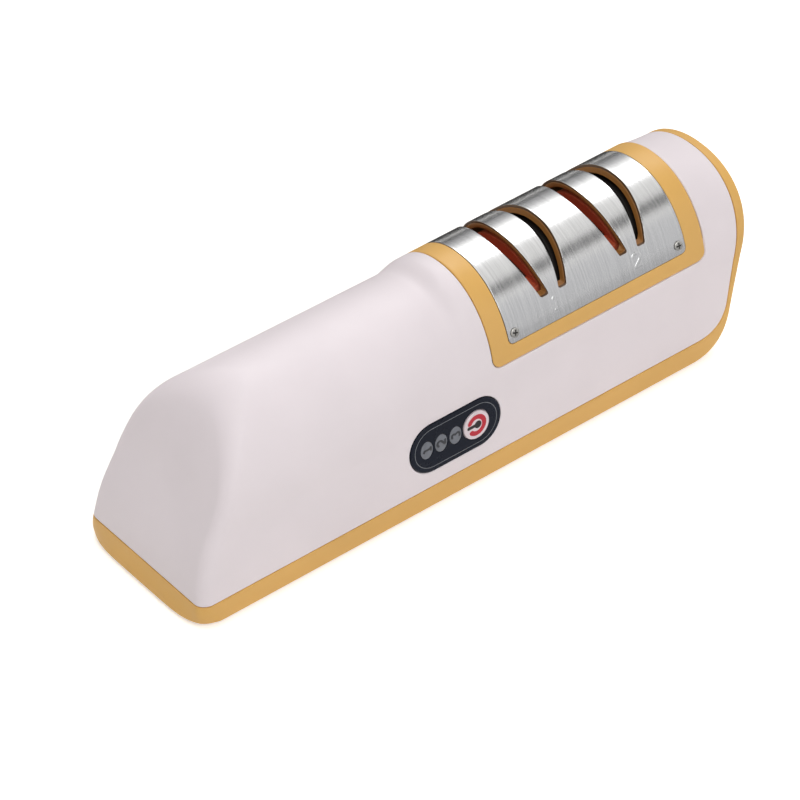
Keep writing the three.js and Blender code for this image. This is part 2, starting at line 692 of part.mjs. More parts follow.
// Grinding wheels, two to a stage, with a spring between them that pushes them out against
// the clips. face is the outer face's place along X, side its direction.
const centreline = (x) => [x, 0, spindleHeight];
const wheelProfile = [
  [0, spindleRadius + bearClear],
  [wheelFace - pocketDepth, spindleRadius + bearClear],
  [wheelFace - pocketDepth, springOuter + seam],
  [wheelFace, springOuter + seam],
  [wheelFace, wheelHub],
  [wheelRim + wheelBevel, wheelRadius],
  [wheelBevel, wheelRadius],
  [0, wheelRadius - wheelBand],
  [0, spindleRadius + bearClear],
];
const springHalfLength = wheelGap / 2 + pocketDepth - wheelTravel - seam;
stageCentres.forEach((centre, stage) => {
  for (const side of [-1, 1]) {
    const face = centre + side * (wheelSpan / 2);
    const profile = wheelProfile.map(([along, radius]) => [-side * along, radius]);
    const ordered = side < 0 ? profile.reverse() : profile;
    const where = side < 0 ? 'left' : 'right';
    add(`${stageNames[stage]}_wheel_${where}`, turned(ordered, centreline(face), wheelSteps), rust());
  }
  const springStart = centre - springHalfLength;
  const spring = bar('x', centreline(springStart), springOuter, springHalfLength * 2, smallSteps);
  const bore = bar('x', centreline(springStart - overrun), springInner, headroom, smallSteps);
  add(`${stageNames[stage]}_wheel_spring`, spring.subtract(bore), steel());
});

// Spindle: a rod with a thicker stretch between the stages, and a clip at the far side of each
const shoulderStart = stageCentres[0] + wheelSpan / 2 + seam;
const shoulderEnd = stageCentres[1] - wheelSpan / 2 - seam;
const rod = bar('x', centreline(spindleStart), spindleRadius, spindleEnd - spindleStart);
const shoulder = bar('x', centreline(shoulderStart), clipRadius, shoulderEnd - shoulderStart);
add('spindle', rod.add(shoulder), steel());
const clipSides = [-1, 1];
clipSides.forEach((side, i) => {
  const face = stageCentres[i] + side * (wheelSpan / 2 + seam) - (side < 0 ? clipThick : 0);
  const ring = bar('x', centreline(face), clipRadius, clipThick);
  const bore = bar('x', centreline(face - overrun), spindleRadius + seam / 2, headroom);
  add(`spindle_clip_${i + 1}`, ring.subtract(bore), steel());
});

// Bearing brackets standing on the base, with a flanged bush in each
const flangeMiddle = (place, i) => place + (i === 0 ? 1 : -1) * (bracketThick + bracketFlange) / 2;
bracketPlaces.forEach((place, i) => {
  const inward = i === 0 ? 1 : -1;
  const [low, high] = [place - bracketThick / 2, place + bracketThick / 2];
  const foot = floorThick + seam;
  const upright = block([low, -bracketHalf, foot], [high, bracketHalf, bracketTop]);
  const [start, end] = inward > 0 ? [low, high + bracketFlange] : [low - bracketFlange, high];
  const flange = block([start, -bracketHalf, foot], [end, bracketHalf, foot + bracketThick]);
  const hole = bar('x', centreline(low - overrun), bushRadius + seam, headroom);
  const notches = [-bracketHalf - seam, bracketHalf - wireNotch - seam].map((near) => block(
    [start - overrun, near, foot - overrun],
    [end + overrun, near + wireNotch + seam * 2, foot + wireNotch],
  ));
  const screwHole = [flangeMiddle(place, i), 0, foot - overrun];
  const bore = bar('z', screwHole, bracketScrewShank + seam, headroom / 2, smallSteps);
  add(`bearing_bracket_${i + 1}`, cutAll(upright.add(flange), [hole, ...notches, bore]), dark());
  const bushProfile = [
    [-bushLength / 2, spindleRadius + bearClear],
    [-bushLength / 2, bushRadius],
    [bracketThick / 2 + seam, bushRadius],
    [bracketThick / 2 + seam, bushFlange],
    [bracketThick / 2 + seam + bushFlangeThick, bushFlange],
    [bracketThick / 2 + seam + bushFlangeThick, spindleRadius + bearClear],
    [-bushLength / 2, spindleRadius + bearClear],
  ].map(([along, radius]) => [inward * along, radius]);
  const ordered = inward > 0 ? bushProfile : bushProfile.reverse();
  add(`spindle_bush_${i + 1}`, turned(ordered, centreline(place)), brass());
});
const bracketScrew = (x) => {
  const seat = floorThick + seam * 2 + bracketThick;
  const foot = [x, 0, floorThick + seam];
  const head = bar('z', [x, 0, seat], bracketScrewHead, bracketScrewHeadThick, smallSteps);
  return head.add(bar('z', foot, bracketScrewShank, bracketThick + seam * 2, smallSteps));
};
bracketPlaces.forEach((place, i) => {
  add(`bracket_screw_${i + 1}`, bracketScrew(flangeMiddle(place, i)), steel());
});

// Motor: can with a boss, rear cap with two terminals, shaft, and the cradle that carries it
const shaftStart = motorFace - shaftInside;
const shaftHole = bar(
  'x',
  centreline(shaftStart - seam),
  motorShaftRadius + seam,
  headroom * 2,
  smallSteps,
);
const can = bar('x', centreline(motorStart), motorRadius, motorLength).add(
  bar('x', centreline(motorFace - seam), motorBoss, motorBossThick + seam),
);
add('motor_can', can.subtract(shaftHole), steel());
const capStart = motorStart - seam - motorCapThick;
const capDisc = bar('x', centreline(capStart), motorRadius - capInset, motorCapThick);
const terminalEnd = capStart - seam;
const tabs = [-1, 1].map((side) => block(
  [terminalEnd - terminalLength, side * terminalPitch - terminalHalf, spindleHeight - contactThick],
  [terminalEnd + motorCapThick, side * terminalPitch + terminalHalf, spindleHeight + contactThick],
));
add('motor_cap', capDisc.add(join(tabs)), dark());
const shaftLength = shaftInside + motorShaftReach;
const motorShaft = bar('x', centreline(shaftStart), motorShaftRadius, shaftLength, smallSteps);
add('motor_shaft', motorShaft, steel());
const cradleFoot = floorThick + seam;
const motorBed = [motorStart + cradleInset, motorFace - cradleInset - cradleThick].map((x) => (
  block([x, -cradleHalf, cradleFoot], [x + cradleThick, cradleHalf, spindleHeight])
));
const motorFloor = block(
  [motorStart + cradleInset, -cradleHalf, cradleFoot],
  [motorFace - cradleInset, cradleHalf, cradleFoot + holderThick],
);
const bedLength = motorLength + headroom * 2;
const bedCut = bar('x', centreline(motorStart - headroom), motorRadius + seam, bedLength);
add('motor_cradle', join([...motorBed, motorFloor]).subtract(bedCut), dark());
const strapStart = motorStart + motorLength / 2 - strapWidth / 2;
const strapOuter = motorRadius + seam + strapThick;
const strapRing = bar('x', centreline(strapStart), strapOuter, strapWidth);
const strapCut = bar('x', centreline(motorStart), motorRadius + seam, motorLength);
const strapEars = block(
  [strapStart, -cradleHalf, spindleHeight],
  [strapStart + strapWidth, cradleHalf, spindleHeight + strapThick],
);
const strapLow = block(
  [motorStart - overrun, -top, 0],
  [motorFace + overrun, top, spindleHeight + seam],
);
add('motor_strap', strapRing.add(strapEars).subtract(strapCut).subtract(strapLow), steel());

// Jaw coupling: two hubs whose jaws hold a rubber spider between them
function spiderShape(grow) {
  const long = couplingRadius + overrun;
  const half = spiderArm / 2 + grow;
  const [low, high] = [couplingMid - jawLength / 2, couplingMid + jawLength / 2];
  const arms = [0, 1].map((i) => {
    const arm = new THREE.BoxGeometry(high - low, long * 2, half * 2);
    arm.rotateX(Math.PI / 4 + (i * Math.PI) / 2);
    return solid(arm.translate(couplingMid, 0, spindleHeight));
  });
  const heart = bar('x', centreline(low), spiderHeart + grow, high - low, smallSteps);
  const rim = bar('x', centreline(low - overrun), couplingRadius, headroom);
  return join([...arms, heart]).intersect(rim);
}
const quadrants = [0, 1].map((i) => {
  const diagonal = new THREE.BoxGeometry(headroom, headroom, headroom);
  diagonal.translate(0, headroom / 2, headroom / 2).rotateX(Math.PI / 4 + (i * Math.PI) / 2);
  const opposite = diagonal.clone().rotateX(Math.PI);
  return solid(diagonal).add(solid(opposite)).translate([couplingMid, 0, spindleHeight]);
});
const hubPlaces = [couplingStart, couplingMid + jawLength / 2 + seam];
const couplingNames = ['motor_coupling', 'spindle_coupling'];
hubPlaces.forEach((start, i) => {
  const hub = bar('x', centreline(start), couplingRadius, couplingHub);
  const jawStart = couplingMid - jawLength / 2 - (i === 0 ? seam * 2 : 0);
  const jaws = bar('x', centreline(jawStart), couplingRadius, jawLength + seam * 2);
  const bore = i === 0 ? motorShaftRadius : spindleRadius;
  const hole = bar('x', centreline(start - overrun), bore + seam / 2, headroom);
  const jawed = jaws.intersect(quadrants[i]).subtract(spiderShape(seam));
  add(couplingNames[i], hub.add(jawed).subtract(hole), steel());
});
const spiderHole = bar('x', centreline(couplingStart), spindleRadius / 2 + seam, headroom, smallSteps);
add('coupling_spider', spiderShape(0).subtract(spiderHole), rubber());

// Control panel on the front: fascia, lenses, power button and the board behind them
const buttonWell = disc(buttonX, buttonRadius + seam, panelBack - overrun, panelProud + overrun);
const buttonNest = disc(buttonX, buttonFlange + seam, panelBack - overrun, panelBack + nestDepth);
// An oval on the panel, between two heights
function oval(x, grow, low, high) {
  const flat = new THREE.CylinderGeometry(1, 1, high - low, roundSteps);
  flat.rotateX(Math.PI / 2).scale(lensHalfWidth + grow, lensHalfHeight + grow, 1);
  return solid(flat.translate(x - panelCentreX, 0, (low + high) / 2));
}
const lensFoot = panelProud - lensSunk - lensThick;
const lensWells = lensPlaces.flatMap((x) => [
  oval(x, seam / 2, lensFoot - seam / 2, panelProud + overrun),
  disc(x, lightHole, panelBack - overrun, panelProud, smallSteps),
]);
const fascia = capsule(panelLength, panelHeight, panelBack, panelProud);
add('control_panel', onPanel(cutAll(fascia, [buttonWell, buttonNest, ...lensWells])), dark());

const buttonTop = panelProud + buttonProud;
const buttonCap = disc(buttonX, buttonRadius, buttonTop - buttonThick, buttonTop);
const flangeTop = panelBack + nestDepth - seam;
const buttonFoot = disc(buttonX, buttonFlange, flangeTop - buttonFlangeThick, flangeTop);
add('power_button', onPanel(buttonCap.add(buttonFoot)), white());

lensPlaces.forEach((x, i) => {
  add(`indicator_lens_${i + 1}`, onPanel(oval(x, 0, lensFoot, panelProud - lensSunk)), dark());
});
const boardFoot = boardFace - panelBoardThick;
const panelBoard = capsule(panelLength - boardTrim, panelHeight - boardTrim, boardFoot, boardFace);
const squareAt = (x, size, low, high) => block(
  [x - panelCentreX - size / 2, -size / 2, low],
  [x - panelCentreX + size / 2, size / 2, high],
);
const leds = lensPlaces.map((x) => (
  squareAt(x, ledSize, boardFoot + panelBoardThick / 2, boardFace + ledThick)
));
add('panel_board', onPanel(panelBoard.add(join(leds))), board());
const switchFoot = boardFace + seam;
const switchCase = squareAt(buttonX, switchSize, switchFoot, switchFoot + switchThick);
const switchFloor = switchFoot + switchWell;
const plungerHole = disc(buttonX, plungerRadius + seam, switchFloor, headroom, smallSteps);
add('tact_switch', onPanel(switchCase.subtract(plungerHole)), dark());
const plungerFoot = switchFloor + buttonTravel + seam / 2;
const plungerTop = flangeTop - buttonFlangeThick - seam;
const plunger = disc(buttonX, plungerRadius, plungerFoot, plungerTop, smallSteps);
add('switch_plunger', onPanel(plunger), rubber());
const clampTop = boardFoot - seam;
const clamp = capsule(panelLength - boardTrim, strapWidth, clampTop - holderThick, clampTop);
add('panel_bracket', onPanel(clamp), dark());

// Power: two cells in a holder, joined by strips, and the charging board with its socket
const cellHeight = floorThick + seam + holderThick + seam + cellRadius;
const holderHeight = cellHeight - cellRadius / 2;
const cellEnd = cellStart + cellLength;
const cellY = [-cellPitch / 2, cellPitch / 2];
cellY.forEach((y, i) => {
  const can = bar('x', [cellStart, y, cellHeight], cellRadius, cellLength);
  const nub = bar('x', [cellEnd - seam, y, cellHeight], cellNub, contactGap + seam, smallSteps);
  add(`battery_cell_${i + 1}`, i === 0 ? can.add(nub) : can, steel());
});
const holderBlock = block(
  [cellStart + cradleInset, -holderHalf, floorThick + seam],
  [cellEnd - cradleInset, holderHalf, holderHeight],
);
const cellRoom = cellY.map((y) => (
  bar('x', [cellStart - overrun, y, cellHeight], cellRadius + seam, cellLength + headroom)
));
add('battery_holder', cutAll(holderBlock, cellRoom), dark());
const stripHalf = cellPitch / 2 + cellNub;
const strips = [cellStart - contactGap - contactThick, cellEnd + contactGap * 2].map((x) => block(
  [x, -stripHalf, cellHeight - cellNub], [x + contactThick, stripHalf, cellHeight + cellNub],
));
strips.forEach((strip, i) => add(`battery_strip_${i + 1}`, strip, brass()));

add('charge_board', block(
  [chargeStart, -chargeBoardWidth / 2, chargeBoardHeight],
  [chargeEnd, chargeBoardWidth / 2, chargeBoardHeight + boardThick],
), board());
const socketEnd = socketX - seam;
const socketCase = block(
  [socketEnd - socketDepth, -socketWidth / 2, socketLow],
  [socketEnd, socketWidth / 2, socketLow + socketHeight],
);
const socketHollow = block(
  [socketEnd - socketDepth + socketBack, socketWall - socketWidth / 2, socketLow + socketWall],
  [socketEnd + overrun, socketWidth / 2 - socketWall, socketLow + socketHeight - socketWall],
);
const tongueLow = socketLow + (socketHeight - tongueThick) / 2;
const tongue = block(
  [socketEnd - socketDepth + socketBack / 2, -tongueHalf, tongueLow],
  [socketEnd - socketBack, tongueHalf, tongueLow + tongueThick],
);
add('charge_socket', socketCase.subtract(socketHollow).add(tongue), steel());

// Two-core cables inside the body, each on its own route
function lead(points) {
  const curve = new THREE.CatmullRomCurve3(points.map((point) => new THREE.Vector3(...point)));
  const outline = new THREE.Shape().absarc(0, 0, leadRadius, 0, Math.PI * 2, false);
  const tube = new THREE.ExtrudeGeometry(outline, {
    steps: leadSteps, bevelEnabled: false, extrudePath: curve, curveSegments: leadArcs,
  });
  return solid(tube);
}
const leadFloor = floorThick + seam * 4 + leadRadius;
const nearBracket = bracketHalf - wireNotch / 2 + seam;
const stripFace = cellEnd + contactGap * 2 + contactThick + seam * 2;
const cableSide = -nearBracket;
const boardEdge = chargeBoardWidth / 2;
add('charge_cable', lead([
  [stripFace + leadRadius, -stripHalf + leadRadius * 2, cellHeight],
  [stripFace + leadTurn / 3, -stripHalf - leadRadius, cellHeight - leadTurn / 3],
  [stripFace + leadTurn * bendShare, cableSide, leadFloor + leadTurn / 2],
  [motorStart + leadTurn, cableSide, leadFloor],
  [bracketPlaces[0] - leadTurn, cableSide, leadFloor],
  [mix(bracketPlaces[0], bracketPlaces[1], 1 / 3), cableSide, leadFloor],
  [mix(bracketPlaces[0], bracketPlaces[1], 2 / 3), cableSide, leadFloor],
  [bracketPlaces[1] - leadTurn, cableSide, leadFloor],
  [bracketPlaces[1] + leadTurn / 3, cableSide, leadFloor + leadRadius],
  [chargeStart + legInset, -boardEdge - leadTurn / 2, chargeBoardHeight - leadTurn / 2],
  [chargeStart + legInset * 2, -boardEdge - leadRadius - seam, chargeBoardHeight + boardThick],
]), rubber());
const boardBack = panelSkin.point.clone();
boardBack.addScaledVector(panelSkin.normal, clampTop - holderThick - seam);
const tabEnd = terminalEnd - terminalLength - seam - leadRadius;
add('motor_cable', lead([
  [tabEnd, -terminalPitch, spindleHeight],
  [tabEnd - leadTurn / 2, -terminalPitch - leadTurn / 2, spindleHeight - leadTurn / 3],
  [tabEnd, boardBack.y + leadTurn, boardBack.z + leadTurn / 2],
  [motorStart + leadTurn / 2, boardBack.y + leadTurn / 2, boardBack.z],
  [panelCentreX - panelLength / 2 + leadTurn, boardBack.y + leadRadius * 2, boardBack.z],
]), rubber());

// Feet and the screws that hold the base to the shell
const corners = (places) => places.flatMap(([x, y]) => [[x, -y], [x, y]]);
corners(footPlaces).forEach(([x, y], i) => {
  const foot = bar('z', [x, y, -footProud], footRadius, footProud + footSunk - seam);
  add(`rubber_foot_${i + 1}`, foot, rubber());
});
const baseScrew = ([x, y]) => {
  const head = bar('z', [x, y, seam], baseScrewHead, baseScrewHeadThick - seam * 2, smallSteps);
  const slot = block(
    [x - baseScrewHead / 2, y - crossWidth / 2, seam - overrun],
    [x + baseScrewHead / 2, y + crossWidth / 2, seam + crossDepth],
  );
  const length = bandHeight + baseScrewReach - baseScrewHeadThick;
  const shank = bar('z', [x, y, baseScrewHeadThick / 2], baseScrewShank, length, smallSteps);
  return head.subtract(slot).add(shank);
};
corners(postPlaces).forEach((place, i) => add(`base_screw_${i + 1}`, baseScrew(place), steel()));

// The origin goes under the middle of the whole body, on the floor that the feet stand on
const reach = new THREE.Box3().setFromObject(group);
const middle = reach.getCenter(new THREE.Vector3());
group.position.set(-middle.x, -middle.y, -reach.min.z);

export default group;
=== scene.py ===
"""Looks of the electric knife sharpener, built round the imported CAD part.

Lengths in this file are millimetres in the maker's frame (X from the handle end, Z from under the
base) until placed() turns them into metres in the part's own frame.
"""
import json
import math

import bmesh
import bpy
import numpy as np
from mathutils import Matrix


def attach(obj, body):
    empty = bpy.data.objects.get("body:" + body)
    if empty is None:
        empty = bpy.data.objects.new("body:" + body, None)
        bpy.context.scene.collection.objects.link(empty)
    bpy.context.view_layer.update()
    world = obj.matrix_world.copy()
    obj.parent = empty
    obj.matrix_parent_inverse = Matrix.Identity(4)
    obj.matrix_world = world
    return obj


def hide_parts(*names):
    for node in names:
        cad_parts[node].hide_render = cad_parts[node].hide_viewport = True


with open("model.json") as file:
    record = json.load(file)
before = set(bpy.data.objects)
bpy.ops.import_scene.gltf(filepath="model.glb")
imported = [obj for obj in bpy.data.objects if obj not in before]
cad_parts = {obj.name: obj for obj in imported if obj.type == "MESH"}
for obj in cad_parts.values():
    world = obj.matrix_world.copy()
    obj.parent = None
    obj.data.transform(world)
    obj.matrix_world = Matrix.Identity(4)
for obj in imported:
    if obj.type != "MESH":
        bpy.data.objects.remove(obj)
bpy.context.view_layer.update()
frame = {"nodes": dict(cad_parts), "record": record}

SHIFT = np.array([-0.1272696228, 0.0, 0.0012])
NODES = frame["nodes"]

# Body sizes, as in the CAD source but for two forms that follow the photograph more closely: the
# shoulder and the handle end's face
BAND, SPRING, CROWN, ARCH_POWER = 8.6, 34.8, 74.0, 2.12
BAND_HALF, SPRING_HALF = 32.9, 30.2
DROP_NEAR, DROP_FAR, HANDLE_FAR = 3.3, 1.5, 30.0
SHOULDER_FOOT, SHOULDER_TOP = 121.5, 129.5
END_FLARE, END_FLARE_POWER, END_LEAN, END_SWEEP, END_POWER = 1.61, 1.5, 0.133, 26.3, 2.8
END_STEP, END_STEP_START, END_STEP_RISE = 4.4, 16.8, 30.2
CORNER_LOW, CORNER_HIGH, END_BEND, END_BEND_POWER = 5.0, 6.0, 6.0, 6.0
RIM_FOOT, RIM_LEAN, RIM_DROP, RIM_POWER = 238.3, 0.19, 5.8, 0.8
RIM_SPRING, RIM_SPRING_HALF, RIM_BAND_HALF = 39.4, 31.5, 33.2
RIM_CORNER, PLATE_END_FOOT, PLATE_END_LEAN, PLATE_END_CORNER = 12.0, 1.6, 0.045, 15.0
WALL, FLOOR, SEAM = 2.2, 2.4, 0.3
FORM_FOOT, FACE_MIDDLE, JOIN, MIDDLE, HEEL = -26.0, 22.0, 62.0, 125.0, 18.0
FRAME_START, FRAME_END, FRAME_FOOT, FRAME_CORNER, FRAME_THICK = 134.1, 232.8, 43.7, 3.6, 4.6
PLATE_START, PLATE_END, PLATE_FOOT, PLATE_CORNER, PLATE_THICK = 142.2, 224.6, 50.1, 2.0, 0.8
SLOT_FOOT, SLOT_WIDTH, SLOT_STEEP, SLOT_SHALLOW, SLOT_PITCH = 60.0, 3.3, 0.22, 0.38, 8.2
SLOT_ROUND = 0.5
STAGES = (165.75, 202.3)
OUTER_FOOT, OUTER_LEAN = RIM_FOOT + PLATE_END_FOOT, RIM_LEAN + PLATE_END_LEAN
RIM_TOP = RIM_FOOT + RIM_LEAN * CROWN
PANEL_X, PANEL_Z, PANEL_LENGTH, PANEL_HEIGHT, PANEL_PROUD = 115.1, 25.3, 40.8, 19.9, 0.35
BUTTON_X, BUTTON_RADIUS, BUTTON_PROUD = 124.2, 5.7, 0.5
LENS_PLACES, LENS_HALF_WIDTH, LENS_HALF_HEIGHT = (102.0, 108.5, 115.0), 2.7, 3.6
TOP, LEFT = CROWN + 20.0, -20.0        # where outlines close, off the body
SHARP = math.radians(35.0)


def placed(points):
    """Millimetres in the maker's frame to metres in the part's frame."""
    return np.asarray(points, float) * 0.001 + SHIFT


def unit(vectors):
    """Vectors along the last axis, made one long."""
    return vectors / np.maximum(np.linalg.norm(vectors, axis=-1, keepdims=True), 1e-12)


# The body's form

def eased(share):
    held = np.clip(share, 0.0, 1.0)
    return held * held * (3.0 - 2.0 * held)


def past_frame(x):
    """The share of the way from the slot frame to the tall end's rim, none before the frame."""
    return np.maximum(0.0, (x - FRAME_END) / (RIM_TOP - FRAME_END))


def crown_drop(x):
    """How far the crown lies below its full height: a slope along the handle, an eased shoulder
    up to the slot frame, and a fall towards the tall end."""
    along = np.clip((x - HANDLE_FAR) / (SHOULDER_FOOT - HANDLE_FAR), 0.0, 1.0)
    shoulder = eased((x - SHOULDER_FOOT) / (SHOULDER_TOP - SHOULDER_FOOT))
    slope = DROP_FAR + (DROP_NEAR - DROP_FAR) * along
    return slope * (1.0 - shoulder) + RIM_DROP * past_frame(x) ** RIM_POWER


def half_section(x, r, inset):
    """Half of the section at x. r from -1 to 0 runs under the form, 0 to 1 up its straight leaning
    side, 1 to 2 over a superellipse of power 2.12 to the crown. Returns y and z."""
    to_rim = past_frame(x)
    spring = SPRING + (RIM_SPRING - SPRING) * to_rim
    half = SPRING_HALF + (RIM_SPRING_HALF - SPRING_HALF) * to_rim - inset
    lean = (BAND_HALF + (RIM_BAND_HALF - BAND_HALF) * to_rim - inset - half) / (spring - BAND)
    crown = CROWN - crown_drop(x) - inset
    z_side = FORM_FOOT + (spring - FORM_FOOT) * np.clip(r, 0.0, 1.0)
    y_side = (half + lean * (spring - z_side)) * (1.0 + np.clip(r, -1.0, 0.0))
    turn = np.clip(r - 1.0, 0.0, 1.0) * (math.pi / 2)
    y_arch = half * np.maximum(np.cos(turn), 0.0) ** (2.0 / ARCH_POWER)
    z_arch = spring + (crown - spring) * np.sin(turn) ** (2.0 / ARCH_POWER)
    return np.where(r > 1.0, y_arch, y_side), np.where(r > 1.0, z_arch, z_side)


def end_face(z, inset):
    """X of the handle end's face: a lean that grows by an eased step, plus a sweep that grows
    towards its crown, less a flare over the height of the base."""
    crown = CROWN - DROP_FAR - inset
    rise = np.clip(z / crown, 0.0, 1.0)
    flare = END_FLARE * np.clip(1.0 - z / BAND, 0.0, 1.0) ** END_FLARE_POWER
    step = END_STEP * eased((z - END_STEP_START) / END_STEP_RISE)
    return inset - flare + END_LEAN * z + step + END_SWEEP * (1.0 - np.sqrt(1.0 - rise ** END_POWER))


def body_point(v, w, inset=0.0):
    """The body's surface. v from -3 to 0 is the handle end (face, rounded corner, run-out) and
    above 0 the distance along X past the run-out. w from -3 to 3 goes round the section from
    underneath, up the front, over the crown at 0 and down the rear."""
    side = np.where(w < 0, -1.0, 1.0)
    r = 2.0 - np.abs(w)
    y, z = half_section(JOIN + np.maximum(v, 0.0), r, inset)
    y_end, z_end = half_section(np.full_like(v, HANDLE_FAR), r, inset)
    radius = CORNER_LOW + (CORNER_HIGH - CORNER_LOW) * np.clip(z_end / CROWN, 0.0, 1.0)
    radius = np.maximum(radius - inset, SEAM)
    reach = np.hypot(y_end, z_end - FACE_MIDDLE)
    angle = np.clip(v + 2.0, 0.0, 1.0) * (math.pi / 2)
    share = np.clip(v + 3.0, 0.0, 1.0) * (1.0 - radius / reach * (1.0 - np.sin(angle)))
    height = FACE_MIDDLE + (z_end - FACE_MIDDLE) * share
    aside = (np.abs(y_end * share) + inset) / BAND_HALF
    bend = END_BEND * np.clip(1.0 - height / BAND, 0.0, 1.0) ** 2 * aside ** END_BEND_POWER
    face_x = end_face(height, inset) + bend + radius * (1.0 - np.cos(angle))
    run = np.clip(v + 1.0, 0.0, 1.0)
    end = np.stack([face_x + (JOIN - face_x) * run, y_end * share + (y - y_end * share) * run,
                    height + (z - height) * run], -1)
    straight = np.stack([JOIN + v, y, z], -1)
    points = np.where((v < 0)[..., None], end, straight)
    points[..., 1] *= side
    return points


# Outlines, as distances that are negative inside

def polygon_distance(x, z, corners):
    """Signed distance from points to a closed polygon, from its nearest edge, negative inside."""
    a = np.asarray(corners, float)
    b = np.roll(a, -1, 0)
    edge = b - a
    px, pz = x[..., None] - a[:, 0], z[..., None] - a[:, 1]
    along = np.clip((px * edge[:, 0] + pz * edge[:, 1]) / (edge ** 2).sum(1), 0.0, 1.0)
    gap = np.hypot(px - along * edge[:, 0], pz - along * edge[:, 1]).min(-1)
    above_a, above_b = a[:, 1] > z[..., None], b[:, 1] > z[..., None]
    rise = np.where(edge[:, 1] == 0, 1.0, edge[:, 1])
    cross = px < edge[:, 0] * pz / rise
    inside = (((above_a != above_b) & cross).sum(-1) % 2) == 1
    return np.where(inside, -gap, gap)


def arc(x, z, radius, start, end, steps=14):
    """Points on a circle, from one angle to another, both in half turns."""
    turn = np.linspace(start, end, steps) * math.pi
    return np.stack([x + radius * np.cos(turn), z + radius * np.sin(turn)], 1)


def side_outline(foot, foot_x, corner, lean):
    """What lies above foot and left of a leaning line, its lower corner a quadratic curve."""
    edge = lambda z: foot_x + lean * z
    t = np.linspace(0.0, 1.0, 24)[:, None]
    start, middle, end = (np.array(p) for p in (
        (edge(foot) - corner, foot), (edge(foot), foot), (edge(foot + corner), foot + corner)))
    curve = (1 - t) ** 2 * start + 2 * t * (1 - t) * middle + t ** 2 * end
    return np.vstack([[(LEFT, foot)], curve, [(edge(TOP), TOP), (LEFT, TOP)]])


def seam_edge(gap):
    """The seam between shell and tray, moved off its line by a gap towards the shell."""
    return side_outline(BAND + gap, RIM_FOOT - gap, RIM_CORNER, RIM_LEAN)


def saddle_outline(start, end, foot, corner, margin):
    """A saddle seen from the front: straight sides going up past the crown, rounded feet."""
    x0, x1, z0, r = start - margin, end + margin, foot - margin, max(corner + margin, 0.2)
    return np.vstack([[(x1, TOP), (x0, TOP)], arc(x0 + r, z0 + r, r, 1.0, 1.5),
                      arc(x1 - r, z0 + r, r, 1.5, 2.0)])


def frame_edge(margin):
    return saddle_outline(FRAME_START, FRAME_END, FRAME_FOOT, FRAME_CORNER, margin)


def plate_edge(margin):
    return saddle_outline(PLATE_START, PLATE_END, PLATE_FOOT, PLATE_CORNER, margin)


def slot_outline(centre, side, grow):
    """A slot seen from the front: a leaning wedge from its closed foot up past the crown."""
    near = lambda z: SLOT_PITCH / 2 - SLOT_WIDTH / 2 - grow + SLOT_STEEP * (z - SLOT_FOOT)
    away = lambda z: SLOT_PITCH / 2 + SLOT_WIDTH / 2 + grow + SLOT_SHALLOW * (z - SLOT_FOOT)
    low = SLOT_FOOT - grow
    return np.array([(centre + side * near(low), low), (centre + side * near(TOP), TOP),
                     (centre + side * away(TOP), TOP), (centre + side * away(low), low)])


def outline(corners, sign=1.0, swell=0.0):
    """A limit: sign 1 keeps what is inside the outline, -1 what is outside it. The outline is
    first swollen by an amount, which rounds its corners."""
    return lambda p: sign * (polygon_distance(p[..., 0], p[..., 2], corners) - swell)


def off_slot(slot, grow):
    """A limit that keeps what is off a slot, its corners rounded."""
    return outline(slot_outline(*slot, grow - SLOT_ROUND), -1.0, SLOT_ROUND)


NORMAL_Y, NORMAL_Z = -0.994731, 0.102511      # the panel's outward direction
UNTOUCHED = -50.0                             # a limit's distance where it takes nothing away


def skin_y(z):
    """How far the straight side lies from the middle at a height."""
    return SPRING_HALF + (BAND_HALF - SPRING_HALF) * (SPRING - z) / (SPRING - BAND)


PANEL_POINT = np.array([PANEL_X, -skin_y(PANEL_Z), PANEL_Z])
PANEL_UP = np.array([0.0, NORMAL_Z, -NORMAL_Y])
PANEL_OUT = np.array([0.0, NORMAL_Y, NORMAL_Z])
ALONG, ACROSS, UPWARD = np.eye(3)


def on_panel(x, up, out):
    """Places on the panel's face: along X, up the face and out of it."""
    x, up, out = (np.asarray(value, float)[..., None] for value in (x, up, out))
    return PANEL_POINT + (x - PANEL_X) * ALONG + up * PANEL_UP + out * PANEL_OUT


def outside_capsule(grow):
    """A limit that keeps what is off the panel's capsule on the front of the body."""
    radius, reach = PANEL_HEIGHT / 2 + grow, (PANEL_LENGTH - PANEL_HEIGHT) / 2

    def limit(p):
        up = (p - PANEL_POINT) @ PANEL_UP
        along = np.maximum(np.abs(p[..., 0] - PANEL_X) - reach, 0.0)
        return np.where(p[..., 1] < 0, radius - np.hypot(along, up), UNTOUCHED)
    return limit


# Skins: trimmed pieces of the body's surface

def from_above(x):
    """Order round a place on the body, seen from above."""
    return lambda p: np.arctan2(p[:, 1], p[:, 0] - x)


def round_at(x):
    """Order round a place on the panel."""
    return lambda p: np.arctan2((p - PANEL_POINT) @ PANEL_UP, p[:, 0] - x)


SLOT_STRETCH = 9.0         # makes a slot nearly round for its order


def round_slot(centre, side):
    """Order round a slot, after its lean is taken out and its width stretched."""
    def key(p):
        lean = (SLOT_STEEP + SLOT_SHALLOW) / 2 * (p[:, 2] - SLOT_FOOT)
        return np.arctan2(p[:, 1], (p[:, 0] - centre - side * (SLOT_PITCH / 2 + lean)) * SLOT_STRETCH)
    return key


END_STEPS = ((-3.0, 26), (-2.0, 14), (-1.0, 34))    # face, corner and run-out of the handle end
UNDER_STEPS, SIDE_STEPS, ARCH_STEPS = 20, 61, 56


